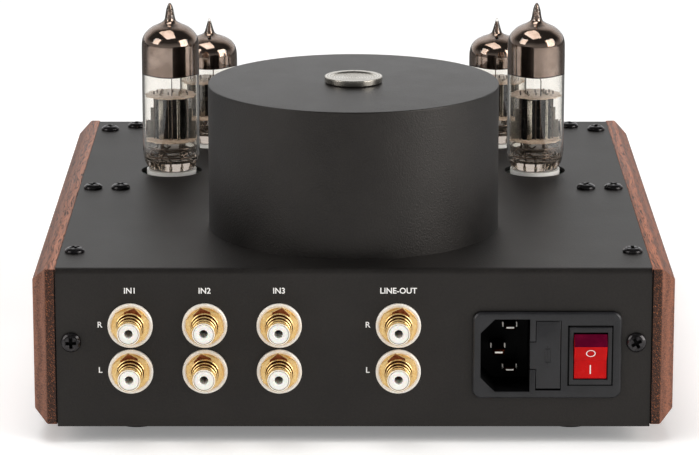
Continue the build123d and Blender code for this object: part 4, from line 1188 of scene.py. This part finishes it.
class AMPLIFIER_OT_stage(bpy.types.Operator):
    """Pale floor, soft boxes, world and camera"""

    bl_idname = "amplifier.stage"
    bl_label = "Stage"

    def execute(self, context):
        context.scene.view_settings.view_transform = "Standard"
        sheet = bmesh.new()
        outline = eased(rectangle(FLOOR_SPAN, FLOOR_SPAN), FLOOR_CORNER, 8, closed=True)
        prism(sheet, outline, -20, 0, spot((0, 0, 0)), 4)
        placed("floor", solid("floor", sheet, [studio_paper()]))
        for name, (at, aim, size, watts, tint) in LAMPS.items():
            lamp = bpy.data.lights.new(name, "AREA")
            lamp.shape = "RECTANGLE"
            lamp.size, lamp.size_y = size
            lamp.energy, lamp.color = watts, colour(tint)[:3]
            made = placed(name, lamp)
            made.location = at
            made.rotation_euler = (Vector(aim) - Vector(at)).to_track_quat("-Z", "Y").to_euler()
            made.visible_glossy = name != "top_light"
        context.scene.world = self.room()
        self.camera(context.scene)
        return {"FINISHED"}

    def camera(self, scene):
        """A long lens behind the rear panel, looking a little down."""
        look = scene.amplifier
        lens = bpy.data.cameras.new("camera")
        lens.lens, lens.sensor_width = CAMERA_LENS, CAMERA_SENSOR
        scene.camera = placed("camera", lens)
        scene.camera.location = (CAMERA_ASIDE, rear_y + look.camera_distance, top_z + look.camera_height)
        scene.camera.rotation_euler = (radians(90 - CAMERA_DIP), 0, pi)

    def room(self):
        """The world: an even, dim room that the eye sees as white. In a mirror it has a white
        sweep behind the amplifier and darker walls on the other sides."""
        world = bpy.data.worlds.new("studio")
        world.use_nodes = True
        tree = world.node_tree
        tree.nodes.clear()
        way = node(tree, "ShaderNodeTexCoord").outputs["Generated"]
        axes = node(tree, "ShaderNodeSeparateXYZ", {0: way})
        walls = node(tree, "ShaderNodeMapRange",
                     {"Value": axes.outputs[2], "From Min": 0.0, "From Max": 0.45,
                      "To Min": 0.35, "To Max": 0.06}, interpolation_type="SMOOTHSTEP")
        sweep = node(tree, "ShaderNodeMapRange",
                     {"Value": axes.outputs[1], "From Min": -0.35, "From Max": -0.8,
                      "To Min": walls, "To Max": 1.0}, interpolation_type="SMOOTHSTEP")
        seen, mirror = seen_rays(tree)
        level = node(tree, "ShaderNodeMix", {0: mirror, 2: ROOM_LEVEL, 3: sweep})
        level = node(tree, "ShaderNodeMath", {0: level, 1: seen}, operation="MAXIMUM")
        sky = node(tree, "ShaderNodeBackground", {"Color": (1, 1, 1, 1), "Strength": level})
        node(tree, "ShaderNodeOutputWorld", {"Surface": sky})
        return world


OPERATORS = (
    AMPLIFIER_OT_finishes, AMPLIFIER_OT_case, AMPLIFIER_OT_cheeks, AMPLIFIER_OT_cover,
    AMPLIFIER_OT_valves, AMPLIFIER_OT_phonos, AMPLIFIER_OT_mains, AMPLIFIER_OT_controls,
    AMPLIFIER_OT_lettering, AMPLIFIER_OT_stage,
)


class AMPLIFIER_PT_panel(bpy.types.Panel):
    """Lists the amplifier's colours, sizes and pieces"""

    bl_label = "Valve amplifier"
    bl_space_type = "VIEW_3D"
    bl_region_type = "UI"
    bl_category = "Amplifier"

    def draw(self, context):
        for key in AmplifierLook.__annotations__:
            self.layout.prop(context.scene.amplifier, key)
        for kind in OPERATORS:
            self.layout.operator(kind.bl_idname)


def register():
    for kind in (AmplifierLook, *OPERATORS, AMPLIFIER_PT_panel):
        bpy.utils.register_class(kind)
    bpy.types.Scene.amplifier = PointerProperty(type=AmplifierLook)


def unregister():
    del bpy.types.Scene.amplifier
    for kind in (AMPLIFIER_PT_panel, *reversed(OPERATORS), AmplifierLook):
        bpy.utils.unregister_class(kind)


def main():
    """Builds every piece in order."""
    register()
    for kind in OPERATORS:
        group, name = kind.bl_idname.split(".")
        getattr(getattr(bpy.ops, group), name)()
    bpy.context.view_layer.update()


if __name__ == "__main__":
    main()
